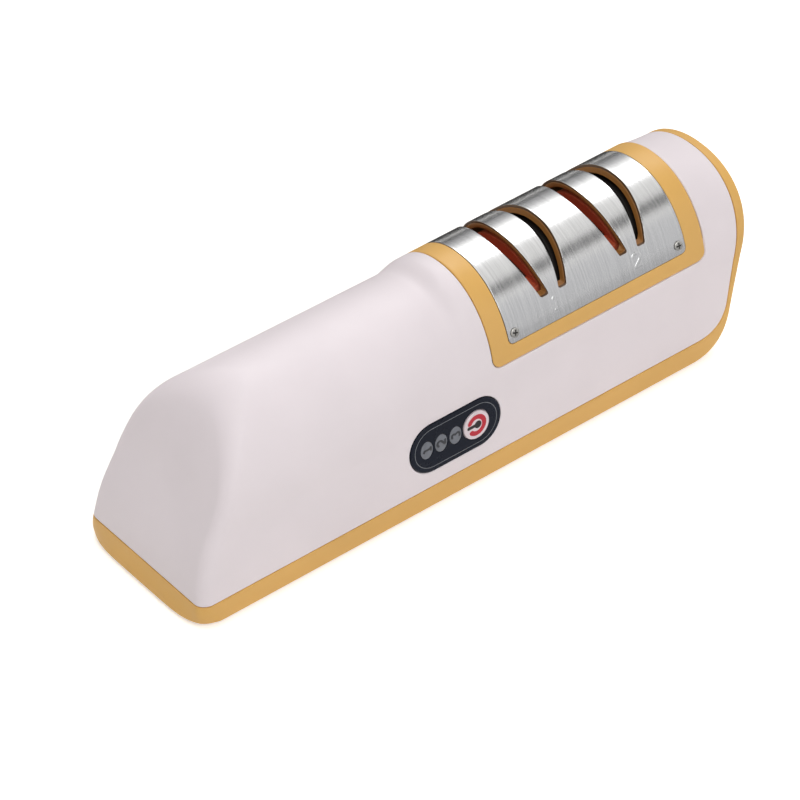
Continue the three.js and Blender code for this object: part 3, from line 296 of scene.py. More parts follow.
def along_knots(first, last, step):
    """Values of v from a place along X to another, with the handle end's own steps before them."""
    straight = np.arange(max(first - JOIN, 0.0), last - JOIN + step, step)
    if first > JOIN:
        return straight
    parts = [np.linspace(low, low + 1.0, int(steps / step), endpoint=False) for low, steps in END_STEPS]
    return np.concatenate(parts + [straight])


def round_knots(low, step):
    """Values of w, alike on both sides: under the form, up the side, both from r = low, and over
    the arch."""
    under = np.linspace(-1.0, 0.0, int(UNDER_STEPS / step) if low < 0 else 0, endpoint=False)
    foot = max(low, 0.0)
    up = np.linspace(foot, 1.0, max(2, int((1 - foot) * SIDE_STEPS / step)), endpoint=False)
    over = np.linspace(1.0, 2.0, max(4, int(ARCH_STEPS / step)))
    r = np.concatenate([under, up, over])
    return np.concatenate([r - 2.0, (2.0 - r)[::-1][1:]])


def linked(name, data):
    """A new object in the scene."""
    made = bpy.data.objects.new(name, data)
    bpy.context.scene.collection.objects.link(made)
    return made


def fill_gaps(bm):
    bmesh.ops.holes_fill(bm, edges=[e for e in bm.edges if e.is_boundary], sides=0)


def cells(grid):
    """The four corners of each cell of a grid, in order round it."""
    return np.stack([grid[:-1, :-1], grid[1:, :-1], grid[1:, 1:], grid[:-1, 1:]], -1)


class Mesh:
    """Collects vertices and faces of one piece."""

    def __init__(self):
        self.points, self.faces, self.cuts, self.count = [], [], [], 0

    def add(self, points, cut=0.0):
        """Adds vertices, cut is one where the material is a cut edge or lies in a recess, where the plate's
        and the screws' finishes paint shade.
        """
        first = self.count
        self.points.append(np.asarray(points, float).reshape(-1, 3))
        self.count += len(self.points[-1])
        self.cuts.append(np.broadcast_to(np.ravel(cut), len(self.points[-1])))
        return first

    def tie(self, faces):
        self.faces.extend(np.asarray(faces).tolist())

    def wrap(self, points, cut=0.0, capped=False):
        """Adds closed rings of vertices, each tied to the next, and faces on the first and last."""
        index = self.add(points, cut) + np.arange(points[..., 0].size).reshape(points.shape[:2])
        self.tie(cells(np.concatenate([index, index[:, :1]], 1)).reshape(-1, 4))
        if capped:
            self.faces += [index[0].tolist(), index[-1][::-1].tolist()]

    def build(self, name, merge=0.002):
        mesh = bpy.data.meshes.new(name)
        mesh.from_pydata(placed(np.vstack(self.points)).tolist(), [], self.faces)
        mesh.attributes.new("cut", "FLOAT", "POINT").data.foreach_set("value", np.concatenate(self.cuts))
        bm = bmesh.new()
        bm.from_mesh(mesh)
        bmesh.ops.remove_doubles(bm, verts=bm.verts, dist=merge * 0.001)
        bmesh.ops.dissolve_degenerate(bm, dist=1e-7, edges=bm.edges)
        bmesh.ops.delete(bm, geom=[v for v in bm.verts if not v.link_faces], context="VERTS")
        fill_gaps(bm)
        bmesh.ops.recalc_face_normals(bm, faces=bm.faces)
        bm.to_mesh(mesh)
        bm.free()
        mesh.polygons.foreach_set("use_smooth", np.ones(len(mesh.polygons), bool))
        mesh.set_sharp_from_angle(angle=SHARP)
        return linked(name, mesh)


def beyond(limits, places):
    """How far places lie past the limits, each moved in by its edge radius."""
    return np.max([limit(places) + edge for limit, edge, _ in limits], 0)


def slopes(surface, v, w, inset, limits, step=1e-3):
    """Place, both tangents, and the limits' distance with its slopes, at surface parameters."""
    change = lambda value: (value(step) - value(-step)) / (2 * step)
    p = surface(v, w, inset)
    tv = change(lambda h: surface(v + h, w, inset))
    tw = change(lambda h: surface(v, w + h, inset))
    dv = change(lambda h: beyond(limits, p + tv * h))
    dw = change(lambda h: beyond(limits, p + tw * h))
    vv, vw, ww = (tv * tv).sum(-1), (tv * tw).sum(-1), (tw * tw).sum(-1)
    area = np.maximum(vv * ww - vw ** 2, 1e-3 * vv * ww + 1e-12)
    return p, tv, tw, dv, dw, (ww * dv - vw * dw) / area, (vv * dw - vw * dv) / area


TRIM_SLACK = 0.05          # how far the middle of a kept face may lie past a limit
CORE, CORE_END = np.array([110.0, 0.0, 30.0]), 40.0    # what the skin's outward side faces away from


def skin(mesh, v_knots, w_knots, inset, limits, surface=body_point, cut=0.0):
    """A grid on a surface, trimmed by limits (distance, edge radius, order round it). Grid points
    next to a limit slide along the surface onto it, what lies outside is left out. Returns, for
    each limit, its ordered boundary: indices, places, outward and up directions."""
    v, w = np.meshgrid(v_knots, w_knots, indexing="ij")
    d = beyond(limits, surface(v, w, inset))
    slide = np.zeros(v.shape, bool)
    for a, b, at_a, at_b in ((d[:-1], d[1:], slide[:-1], slide[1:]),
                             (d[:, :-1], d[:, 1:], slide[:, :-1], slide[:, 1:])):
        crosses = (a > 0) != (b > 0)
        first = crosses & (np.abs(a) <= np.abs(b))
        at_a |= first
        at_b |= crosses & ~first
    vs, ws = v[slide], w[slide]
    for _ in range(6):
        p, _, _, dv, dw, gv, gw = slopes(surface, vs, ws, inset, limits)
        push = beyond(limits, p) / np.maximum(dv * gv + dw * gw, 1e-9)
        vs, ws = vs - push * gv, ws - push * gw
    v[slide], w[slide] = vs, ws
    corners = cells(np.arange(v.size).reshape(v.shape))
    inside = cells(slide | (d <= 0))
    middle = beyond(limits, surface(cells(v).mean(-1), cells(w).mean(-1), inset))
    quads = corners[inside.all(-1) & (middle < TRIM_SLACK)]
    three = inside.sum(-1) == 3
    missing = np.argmin(inside[three], 1)
    tris = corners[three]
    tris = np.stack([tris[np.arange(len(tris)), (missing + k) % 4] for k in (1, 2, 3)], 1)
    centre = surface(v.ravel()[tris].mean(1), w.ravel()[tris].mean(1), inset)
    tris = tris[beyond(limits, centre) < TRIM_SLACK]
    first = mesh.add(surface(v, w, inset), cut)
    mesh.tie(quads + first)
    mesh.tie(tris + first)
    runs = np.vstack([np.stack([faces[:, k], faces[:, (k + 1) % faces.shape[1]]], 1)
                      for faces in (quads, tris) for k in range(faces.shape[1])])
    code = np.sort(runs, 1) @ np.array([v.size, 1])
    _, where, counts = np.unique(code, return_index=True, return_counts=True)
    border = np.unique(runs[where[counts == 1]])
    border = border[slide.ravel()[border]]
    p, tv, tw, _, _, gv, gw = slopes(surface, v.ravel()[border], w.ravel()[border], inset, limits)
    out = unit(tv * gv[:, None] + tw * gw[:, None])
    up = unit(np.cross(tv, tw))
    away = p - CORE
    away[:, 0] *= p[:, 0] < CORE_END
    up *= np.sign((up * away).sum(1, keepdims=True))
    owner = np.argmax([limit(p) + edge for limit, edge, _ in limits], 0)
    rims = []
    for k, (_, edge, order) in enumerate(limits):
        mine = np.flatnonzero(owner == k)
        key = order(p[mine])
        mine = mine[np.argsort(key)]
        rims.append({"index": border[mine] + first, "place": p[mine], "out": out[mine],
                     "up": up[mine], "edge": edge, "key": np.sort(key)})
    return rims


def lace(mesh, one, other):
    """Triangles between two closed rims with their own numbers of points, zipped in key order."""
    first, second = one["index"], other["index"]
    n, m = len(first), len(second)
    order = np.argsort(np.concatenate([one["key"], other["key"]]), kind="stable")
    from_first = order < n
    a = (np.cumsum(from_first) - 1) % n
    b = (np.cumsum(~from_first) - 1) % m
    following = np.roll(order, -1)
    nxt = np.where(following < n, first[following % n], second[(following - n) % m])
    faces = np.stack([first[a], second[b], nxt], 1)
    good = (faces != np.roll(faces, 1, 1)).all(1)
    mesh.tie(faces[good])


def rounded_edge(mesh, rim, steps=4):
    """A quarter round from a rim of a skin down into its wall. Returns the lower rim."""
    last, n = rim["index"], len(rim["index"])
    if rim["edge"] <= 0:
        return rim
    for turn in np.linspace(0, math.pi / 2, steps + 1)[1:]:
        ring = (rim["place"] + rim["out"] * rim["edge"] * math.sin(turn)
                - rim["up"] * rim["edge"] * (1 - math.cos(turn)))
        # The lower part of the round is marked cut, and the plate's finish paints shade there.
        now = mesh.add(ring, turn > 0.7) + np.arange(n)
        mesh.tie(np.stack([last, np.roll(last, -1), np.roll(now, -1), now], 1))
        last = now
    return dict(rim, index=last, place=ring)


def walled(limits, outer_knots, inner_knots, top, bottom, surface=body_point):
    """A closed piece of wall between two insets of a surface, trimmed by limits."""
    mesh = Mesh()
    outer = skin(mesh, *outer_knots, top, limits, surface)
    bare = [(limit, 0.0, order) for limit, _, order in limits]
    # The inner skin and the laced walls are marked cut, and the plate's finish paints shade on them.
    inner = skin(mesh, *inner_knots, bottom, bare, surface, cut=1.0)
    for rim, deep in zip(outer, inner):
        lace(mesh, rounded_edge(mesh, rim), deep)
    return mesh


def body_wall(first, last, low, step, top, bottom, limits, coarse=3.0):
    """A wall of the body from one X to another and up from r = low."""
    knots = [(along_knots(first, last, pitch), round_knots(low, pitch)) for pitch in (step, coarse)]
    return walled(limits, *knots, top, bottom)


# Materials

class Finish:
    """A Principled material whose colour, roughness and bump come from procedural nodes."""

    def __init__(self, name, color, roughness, metallic=0.0, **sockets):
        self.material = bpy.data.materials.new(name)
        self.material.use_nodes = True
        self.tree = self.material.node_tree
        self.shader = self.tree.nodes["Principled BSDF"]
        self.color, self.roughness = color, roughness
        self.shader.inputs["Base Color"].default_value = (*color, 1.0)
        self.shader.inputs["Roughness"].default_value = roughness
        self.shader.inputs["Metallic"].default_value = metallic
        for socket, value in sockets.items():
            self.shader.inputs[socket.replace("_", " ")].default_value = value
        self.coords = self.tree.nodes.new("ShaderNodeTexCoord").outputs["Object"]
        self.height = None

    def node(self, kind, inputs=(), **settings):
        made = self.tree.nodes.new("ShaderNode" + kind)
        for key, value in settings.items():
            setattr(made, key, value)
        for socket, value in dict(inputs).items():
            if isinstance(value, bpy.types.NodeSocket):
                self.tree.links.new(value, made.inputs[socket])
            else:
                made.inputs[socket].default_value = value
        return made

    def math(self, operation, a, b=0.0):
        return self.node("Math", {0: a, 1: b}, operation=operation).outputs[0]

    def scaled(self, size):
        """The object's coordinates, scaled by direction."""
        return self.node("Mapping", {"Vector": self.coords, "Scale": size}).outputs["Vector"]

    def noise(self, scale, detail=3.0, roughness=0.5, vector=None):
        return self.node("TexNoise", {"Vector": vector or self.coords, "Scale": scale, "Detail": detail,
                                      "Roughness": roughness}).outputs["Fac"]

    def ranged(self, value, low, high, to_low, to_high):
        return self.node("MapRange", {"Value": value, "From Min": low, "From Max": high,
                                      "To Min": to_low, "To Max": to_high}).outputs["Result"]

    def mix(self, fac, low, high):
        """Colour between two, each a plain colour or a socket, by a factor."""
        full = lambda color: (*color, 1.0) if isinstance(color, tuple) else color
        return self.node("Mix", {0: fac, 6: full(low), 7: full(high)}, data_type="RGBA").outputs[2]

    def feed(self, socket, value):
        self.tree.links.new(value, self.shader.inputs[socket])

    def fed(self, socket):
        """What feeds a socket now."""
        return self.shader.inputs[socket].links[0].from_socket

    def vary_color(self, value, amount):
        low, high = (tuple(min(1.0, c * share) for c in self.color) for share in (1 - amount, 1 + amount))
        self.feed("Base Color", self.mix(self.ranged(value, 0.3, 0.7, 0.0, 1.0), low, high))

    def vary_roughness(self, value, amount):
        self.feed("Roughness", self.ranged(value, 0.3, 0.7, self.roughness - amount, self.roughness + amount))

    def paint_shade_on_cuts(self, color, roughness=0.5):
        """Painted shade on cut edges and recesses: their colour is painted dark, and they are made dull and
        not metallic.
        """
        cut = self.node("Attribute", attribute_name="cut").outputs["Fac"]
        self.feed("Base Color", self.mix(cut, self.fed("Base Color"), color))
        dull = self.node("Mix", {"Factor": cut, 2: self.fed("Roughness"), 3: roughness})
        self.feed("Roughness", dull.outputs[0])
        self.feed("Metallic", self.math("SUBTRACT", 1.0, cut))

    def bump(self, value, distance, strength):
        made = self.node("Bump", {"Height": value, "Distance": distance, "Strength": strength})
        if self.height is not None:
            self.tree.links.new(self.height, made.inputs["Normal"])
        self.height = made.outputs["Normal"]
        self.feed("Normal", self.height)


def layered(name, color, roughness, cloud, patches, grains=(), metallic=0.0, **sockets):
    """Noise in three layers: a cloud in the colour, patches in the roughness, grains in the
    surface. Each gives its noise's values and then its amount, or depth and strength."""
    finish = Finish(name, color, roughness, metallic, **sockets)
    finish.vary_color(finish.noise(*cloud[:-1]), cloud[-1])
    finish.vary_roughness(finish.noise(*patches[:-1]), patches[-1])
    for *noise, depth, strength in grains:
        finish.bump(finish.noise(*noise), depth, strength)
    return finish


def moulded(name, color, roughness, grain=1800.0, depth=0.00002, cloud=0.03, **sockets):
    """Moulded plastic: a fine orange-peel surface, faint clouding and handling marks."""
    return layered(name, color, roughness, (22.0, 4.0, cloud), (70.0, 5.0, 0.65, 0.05),
                   [(grain, 2.0, depth, 0.35), (260.0, 2.0, depth * 2.0, 0.12)], **sockets)


def brushed(name, color, roughness, along, depth=0.00003, mottle=0.1, strength=0.2, uneven=0.08):
    """Brushed steel: long fine scratches in one direction, with a soft mottling."""
    finish = Finish(name, color, roughness, 1.0)
    fine = finish.noise(1.0, 4.0, 0.7, finish.scaled(along))
    wide = finish.noise(1.0, 3.0, 0.6, finish.scaled(tuple(c * 0.32 for c in along)))
    both = finish.math("ADD", finish.math("MULTIPLY", fine, 0.6), finish.math("MULTIPLY", wide, 0.4))
    finish.vary_color(both, mottle)
    finish.vary_roughness(wide, uneven)
    finish.bump(fine, depth, strength)
    return finish


def turned_metal(name, color, roughness):
    """Turned or plated metal: faint marks of the tool, small stains."""
    return layered(name, color, roughness, (300.0, 4.0, 0.12), (900.0, 3.0, 0.08),
                   [(2400.0, 2.0, 0.00001, 0.3)], metallic=1.0)


def printed(name, color, roughness):
    """Screen-printed ink: nearly flat, with a slight unevenness of the layer."""
    return layered(name, color, roughness, (1500.0, 3.0, 0.05), (2200.0, 2.0, 0.04))


def lens_finish():
    """Smoked lens: grey and glossy, with a faint cloud in the moulding."""
    return layered("lens_grey", (0.16, 0.17, 0.20), 0.18, (400.0, 3.0, 0.10), (600.0, 3.0, 0.05),
                   [(900.0, 2.0, 0.000004, 0.3)], Coat_Weight=0.6, Coat_Roughness=0.05)


def cell_finish():
    """Shrink sleeve of a cell: blue film with soft wrinkles along it."""
    finish = layered("cell_wrap", (0.03, 0.10, 0.22), 0.30, (60.0, 3.0, 0.12), (200.0, 3.0, 0.08),
                     Coat_Weight=0.4)
    finish.bump(finish.noise(1.0, 2.0, vector=finish.scaled((40.0, 600.0, 600.0))), 0.00003, 0.4)
    return finish


def guide_finish(centre):
    """The guide insert of a stage in painted shade: rust under its left slot, a shaded copy of the amber, and
    black under its right one, where the slot lies deep in shade.
    """
    finish = moulded("guide_painted_shade", (0.60, 0.12, 0.055), 0.42, depth=0.00003, cloud=0.12)
    across = finish.node("SeparateXYZ", {"Vector": finish.coords}).outputs["X"]
    edge = centre * 0.001 + SHIFT[0]
    dark = finish.ranged(across, edge - 0.0004, edge + 0.0004, 0.0, 1.0)
    # Painted shade: the half under the right slot goes near black.
    finish.feed("Base Color", finish.mix(dark, finish.fed("Base Color"), (0.012, 0.009, 0.008)))
    return finish


def grit_finish():
    """Grit-coated wheel: packed grains of two browns, rough and sparkling."""
    finish = Finish("abrasive", (0.12, 0.065, 0.05), 0.7, 0.2)
    grains = finish.node("TexVoronoi", {"Vector": finish.coords, "Scale": 2600.0})
    finish.feed("Base Color", finish.mix(grains.outputs["Color"], (0.06, 0.03, 0.022), (0.26, 0.15, 0.11)))
    finish.vary_roughness(grains.outputs["Distance"], 0.2)
    finish.bump(grains.outputs["Distance"], 0.00012, 0.7)
    return finish


def board_finish():
    """Circuit board: green coating over faint tracks."""
    finish = Finish("board_green", (0.015, 0.10, 0.045), 0.32, Coat_Weight=0.3)
    tracks = finish.node("TexBrick", {"Vector": finish.coords, "Scale": 260.0,
                                      "Color1": (0.012, 0.085, 0.04, 1), "Color2": (0.014, 0.11, 0.05, 1),
                                      "Mortar": (0.04, 0.19, 0.08, 1), "Mortar Size": 0.03})
    finish.feed("Base Color", tracks.outputs["Color"])
    finish.vary_roughness(finish.noise(500.0, 3.0), 0.08)
    finish.bump(tracks.outputs["Fac"], 0.00002, 0.4)
    return finish


# Painted shade: a darker copy of the gold plastic, for the slot walls of the plate's bed, which are the gold
# part seen in shade.
gold_wall_painted_shade = moulded("gold_wall_painted_shade", (0.32, 0.135, 0.03), 0.5, cloud=0.06)
INK = {name: printed("ink_" + name, color, roughness) for name, color, roughness in (
    ("red", (0.55, 0.010, 0.030), 0.35), ("black", (0.012, 0.010, 0.010), 0.35),
    ("grey", (0.17, 0.18, 0.20), 0.4), ("dark", (0.030, 0.032, 0.040), 0.4))}
SLOT_FINISH = {
    "shell_white": moulded("shell_white", (0.84, 0.765, 0.80), 0.50),
    "gold_plastic": moulded("gold_plastic", (0.77, 0.44, 0.115), 0.42, cloud=0.04),
    "plate_steel": brushed("plate_steel", (0.64, 0.64, 0.65), 0.25, (5200.0, 60.0, 60.0),
                           depth=0.000012, mottle=0.13, strength=0.008, uneven=0.02),
    "screw_steel": turned_metal("screw_steel", (0.46, 0.45, 0.43), 0.26),
    "spindle_steel": turned_metal("spindle_steel", (0.52, 0.52, 0.53), 0.25),
    "motor_steel": brushed("motor_steel", (0.50, 0.50, 0.51), 0.32, (60.0, 1500.0, 1500.0)),
    "bush_brass": turned_metal("bush_brass", (0.60, 0.42, 0.16), 0.35),
    "panel_dark": moulded("panel_dark", (0.006, 0.009, 0.020), 0.26, depth=0.000004, cloud=0.2,
                          Specular_IOR_Level=0.2),
    "button_white": moulded("button_white", (0.80, 0.69, 0.735), 0.30, depth=0.00001),
    "bracket_dark": moulded("bracket_dark", (0.025, 0.025, 0.028), 0.5, depth=0.00004),
    "rubber_black": moulded("rubber_black", (0.020, 0.020, 0.020), 0.75, 900.0, 0.00005, 0.15),
    "lens_grey": lens_finish(), "abrasive": grit_finish(), "board_green": board_finish(),
    "cell_wrap": cell_finish(),
}
# Painted shade: the plate's cut walls and the lower part of its rounded edges go dark brown, and the screws'
# cross recesses and side walls go near black.
SLOT_FINISH["plate_steel"].paint_shade_on_cuts((0.10, 0.05, 0.02))
SLOT_FINISH["screw_steel"].paint_shade_on_cuts((0.02, 0.018, 0.015))
NODE_SLOT = {row["node"]: row["material_slot"] for row in frame["record"]["subparts"]}
GUIDES = {"fine_guide": guide_finish(STAGES[0]), "coarse_guide": guide_finish(STAGES[1])}
for name, node in NODES.items():
    node.data.materials.clear()
    node.data.materials.append((GUIDES.get(name) or SLOT_FINISH[NODE_SLOT[name]]).material)


def dress(piece, node_names, slot, body="housing", finish=None):
    """Gives a piece its finish and its body, and hides the CAD nodes that it stands for."""
    if node_names:
        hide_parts(*node_names)
    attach(piece, body)
    piece.data.materials.clear()
    piece.data.materials.append((finish or SLOT_FINISH[slot]).material)
    return piece


# Pieces made from the body's surface

STEP = 1.0
BODY_RUN, FRAME_RUN, PLATE_RUN, TRAY_RUN = (0.0, 256.0), (132.0, 235.0), (140.0, 227.0), (0.0, 262.0)
BED_FOOT = 2.7                         # how deep the plate's bed lies under the outer skin
SLOTS = [(centre, side) for centre in STAGES for side in (-1, 1)]
round_body, round_head = from_above(MIDDLE), from_above((FRAME_START + FRAME_END) / 2)

dress(body_wall(*BODY_RUN, -1.0, STEP, 0.0, WALL, [
    (outline(seam_edge(SEAM / 2)), 0.4, round_body),
    (outline(frame_edge(SEAM), -1.0), 0.4, round_head),
    (outside_capsule(SEAM), 0.3, round_at(PANEL_X))]).build("shell_skin"), ["main_shell"], "shell_white")

dress(body_wall(*FRAME_RUN, 0.7, STEP * 0.8, 0.0, FRAME_THICK, [
    (outline(frame_edge(0.0)), 0.45, round_head),
    (outline(plate_edge(SEAM / 2), -1.0), 0.3, round_head)]).build("slot_frame_skin"),
      ["slot_frame"], "gold_plastic")

# The plate's bed under the slots, in the gold finish painted in shade.
dress(body_wall(
    *PLATE_RUN, 0.9, STEP * 0.6, PLATE_THICK + SEAM / 2, BED_FOOT,
    [(outline(plate_edge(SEAM)), 0.0, round_head)]
    + [(off_slot(slot, 0.0), 0.25, round_slot(*slot)) for slot in SLOTS],
    coarse=1.5).build("slot_bed_skin"), [], "gold_plastic", finish=gold_wall_painted_shade)

dress(body_wall(
    *PLATE_RUN, 0.9, STEP * 0.6, 0.0, PLATE_THICK,
    [(outline(plate_edge(0.0)), 0.15, round_head)]
    + [(off_slot(slot, SEAM / 2), 0.08, round_slot(*slot)) for slot in SLOTS],
    coarse=0.8).build("slot_plate_skin"), ["slot_plate"], "plate_steel")


def ruled_floor(mesh, rim, spans=16):
    """Closes a rim that is alike on both sides with straight lines across the body, from the top
    of the tall end down its plate and along the bottom, and a flat piece at the handle end."""
    place, index = rim["place"], rim["index"]
    size = np.abs(np.arctan2(place[:, 1], place[:, 0] - MIDDLE))
    front, rear = np.flatnonzero(place[:, 1] < -0.01), np.flatnonzero(place[:, 1] > 0.01)
    count = min(len(front), len(rear))
    front, rear = front[np.argsort(size[front])][:count], rear[np.argsort(size[rear])][:count]
    last = int(np.argmax(place[front, 0] < HEEL))
    share = np.linspace(0.0, 1.0, spans + 1)[1:-1]
    a, b = place[front[:last + 1]], place[rear[:last + 1]]
    inner = a[:, None] + (b - a)[:, None] * share[None, :, None]
    first = mesh.add(inner)
    between = first + np.arange(inner[..., 0].size).reshape(inner.shape[:2])
    grid = np.concatenate([index[front[:last + 1], None], between, index[rear[:last + 1], None]], 1)
    mesh.tie(cells(grid).reshape(-1, 4))
    middle = np.flatnonzero(np.abs(place[:, 1]) <= 0.01)
    crown = [int(index[m]) for m in middle if place[m, 0] > MIDDLE][:1]
    heel = [int(index[m]) for m in middle if place[m, 0] < MIDDLE][:1]
    mesh.faces.append(crown + grid[0].tolist())
    mesh.faces.append(index[front[last:]].tolist() + heel + index[rear[last:]][::-1].tolist()
                      + grid[last, 1:-1][::-1].tolist())


def base_tray():
    """The base band with its end plate: an outer and an inner trimmed skin, each closed by a ruled
    floor and end, joined along the seam to the shell."""
    seam = outline(seam_edge(-SEAM / 2), -1.0)
    outer = outline(side_outline(0.0, OUTER_FOOT, PLATE_END_CORNER, OUTER_LEAN))
    hollow = outline(side_outline(FLOOR, OUTER_FOOT - FLOOR, PLATE_END_CORNER - FLOOR, OUTER_LEAN))
    mesh = Mesh()
    out_rims = skin(mesh, along_knots(*TRAY_RUN, STEP), round_knots(-1.0, STEP), 0.0,
                    [(outer, 1.2, round_body), (seam, 0.35, round_body)])
    in_rims = skin(mesh, along_knots(*TRAY_RUN, 2.0), round_knots(-1.0, 2.0), WALL,
                   [(hollow, 0.0, round_body), (seam, 0.0, round_body)])
    ruled_floor(mesh, rounded_edge(mesh, out_rims[0], 6))
    ruled_floor(mesh, in_rims[0])
    lace(mesh, rounded_edge(mesh, out_rims[1]), in_rims[1])
    return mesh.build("base_tray_skin")


# Turned and carried shapes

def stand(origin, across, up, out):
    """A map from flat places (x, y, height) to the body: origin plus the three directions."""
    axes = np.array([across, up, out], float)
    return lambda p: np.asarray(origin, float) + np.asarray(p, float) @ axes


def turned(name, profile, place, steps=64, wide=1.0, tall=1.0, dent=None):
    """A profile of (radius, height) turned round the height axis, from its top pole to its foot
    pole. wide and tall stretch the circle to an oval, dent(x, y) is taken off the upper face."""
    profile = np.asarray(profile, float)
    angle = np.linspace(0, 2 * math.pi, steps, endpoint=False)
    radius, height = profile[:, :1], profile[:, 1:]
    x, y = wide * radius * np.cos(angle), tall * radius * np.sin(angle)
    z = np.broadcast_to(height, x.shape).copy()
    cut = np.zeros(x.shape)
    if dent is not None:
        top = np.arange(len(profile)) <= np.argmax(profile[:, 0])
        depth = dent(x[top], y[top])
        z[top] -= depth
        # The cut mark, which the screw's finish paints as shade: growing with the depth of the cross recess,
        # and full on the side below the head.
        cut[top] = depth / CROSS_DEPTH
        cut[~top] = 1.0
    mesh = Mesh()
    mesh.wrap(place(np.stack([x, y, z], -1)), cut)
    return mesh.build(name)


def quarter(radius, height, edge, steps=6):
    """Profile points of a rounded upper corner, from the top face down to the side."""
    turn = np.linspace(0, math.pi / 2, steps)
    return np.stack([radius - edge + edge * np.sin(turn), height - edge + edge * np.cos(turn)], 1)


def face_of(radius, height, rise, steps):
    """Profile points of a slightly crowned face, from its middle out to a radius."""
    r = np.linspace(0.0, radius, steps)
    return np.stack([r, height + rise * (1.0 - (r / radius) ** 2)], 1)


def carried(mesh, path, half_wide, low, high, place, flat=0.5, round_ends=True):
    """A bar along a path of (x, y). Its cross-section is a superellipse whose height goes with the
    sine of the angle to the power flat: 1 is an ellipse, smaller is flatter on top."""
    path = np.asarray(path, float)
    run = np.concatenate([[0.0], np.cumsum(np.linalg.norm(np.diff(path, axis=0), axis=1))])
    width = np.full(len(path), half_wide)
    if round_ends:
        close = half_wide * (1.0 - np.cos(np.linspace(0.12, math.pi / 2, 7)))
        middle = run[(run > half_wide * 1.02) & (run < run[-1] - half_wide * 1.02)]
        knots = np.concatenate([close, middle, run[-1] - close[::-1]])
        path = np.stack([np.interp(knots, run, path[:, k]) for k in (0, 1)], 1)
        near = np.minimum(knots, run[-1] - knots) / half_wide
        width = half_wide * np.sqrt(1.0 - np.clip(1.0 - near, 0.0, 1.0) ** 2)
    ahead = unit(np.gradient(path, axis=0))
    side = np.stack([-ahead[:, 1], ahead[:, 0]], 1)
    turn = np.linspace(math.pi, 0.0, 11)
    across = np.concatenate([[-1.0], np.cos(turn), [1.0]])
    height = low + (high - low) * np.concatenate([[0.0], 0.25 + 0.75 * np.abs(np.sin(turn)) ** flat, [0.0]])
    level = path[:, None] + side[:, None] * (across * width[:, None])[..., None]
    points = np.concatenate([level, np.broadcast_to(height[None, :, None], level.shape[:2] + (1,))], -1)
    mesh.wrap(place(points), capped=True)


def numeral_strokes(text):
    """Strokes of a plain 1, 2 or 3, five high, as runs of (x, y)."""
    line = lambda a, b: np.linspace(a, b, 14)
    if text == "1":
        return [line((-1.1, 1.5), (0.3, 2.5)), line((0.3, 2.5), (0.3, -2.5)), line((-1.1, -2.5), (1.7, -2.5))]
    if text == "2":
        bow = arc(0.0, 1.0, 1.6, 0.95, -0.18, 22)
        return [np.vstack([bow, line(bow[-1] - (0.1, 0.15), (-1.5, -2.4))]), line((-1.6, -2.5), (1.8, -2.5))]
    return [arc(-0.1, 1.3, 1.25, 0.85, -0.45, 20), arc(-0.1, -1.15, 1.45, 0.42, -0.85, 22)]


def numeral(name, text, size, half_wide, low, high, place, flat=0.5):
    """A numeral of raised strokes, its places taken to the body by a map."""
    mesh = Mesh()
    for stroke in numeral_strokes(text):
        carried(mesh, stroke * (size / 5.0), half_wide, low, high, place, flat)
    return mesh.build(name, merge=0.0001)


# Wells and holes of the base

FOOT_PLACES, SCREW_PLACES = [(20.0, 23.0), (RIM_FOOT - 27.3, 23.0)], [(30.0, 27.4), (RIM_FOOT - 12.3, 27.4)]
FOOT_WELL, FOOT_SUNK, BASE_WELL, BASE_SUNK, CUTTER_FOOT = 5.8, 1.0, 3.1, 1.6, -2.0
SOCKET_LOW, SOCKET_HIGH, SOCKET_HALF, SOCKET_CORNER = 13.6, 17.4, 4.8, 0.4


def cut_from(piece, cutters):
    """Takes closed pieces out of another and deletes them."""
    for cutter in cutters:
        taken = piece.modifiers.new("taken", "BOOLEAN")
        taken.operation, taken.solver, taken.object = "DIFFERENCE", "EXACT", cutter
    bpy.context.view_layer.update()
    made = bpy.data.meshes.new_from_object(piece.evaluated_get(bpy.context.evaluated_depsgraph_get()))
    piece.modifiers.clear()
    bm = bmesh.new()
    bm.from_mesh(made)
    fill_gaps(bm)
    bm.to_mesh(made)
    bm.free()
    piece.data = made
    made.set_sharp_from_angle(angle=SHARP)
    for cutter in cutters:
        bpy.data.objects.remove(cutter)
    return piece


def well(x, y, radius, depth):
    """A round cutter from below the base up to a depth."""
    profile = [(0.0, depth), (radius, depth), (radius, CUTTER_FOOT), (0.0, CUTTER_FOOT)]
    return turned("cutter", profile, stand((x, y, 0.0), ALONG, ACROSS, UPWARD), 48)


def socket_hole():
    """A cutter with rounded corners through the tall end's plate, for the charge socket."""
    y, low, high = SOCKET_HALF - SOCKET_CORNER, SOCKET_LOW + SOCKET_CORNER, SOCKET_HIGH - SOCKET_CORNER
    places = [(y, high, 0.0), (-y, high, 0.5), (-y, low, 1.0), (y, low, 1.5)]
    ring = np.vstack([arc(a, b, SOCKET_CORNER, start, start + 0.5, 6) for a, b, start in places])
    mesh = Mesh()
    mesh.wrap(np.stack([np.insert(ring, 0, x, 1) for x in (RIM_FOOT - 5.0, OUTER_FOOT + 12.0)]), capped=True)
    return mesh.build("cutter")


wells = [well(x, side * y, FOOT_WELL, FOOT_SUNK) for x, y in FOOT_PLACES for side in (-1, 1)]
wells += [well(x, side * y, BASE_WELL, BASE_SUNK) for x, y in SCREW_PLACES for side in (-1, 1)]
dress(cut_from(base_tray(), wells + [socket_hole()]), ["base_tray"], "gold_plastic")


# Control panel

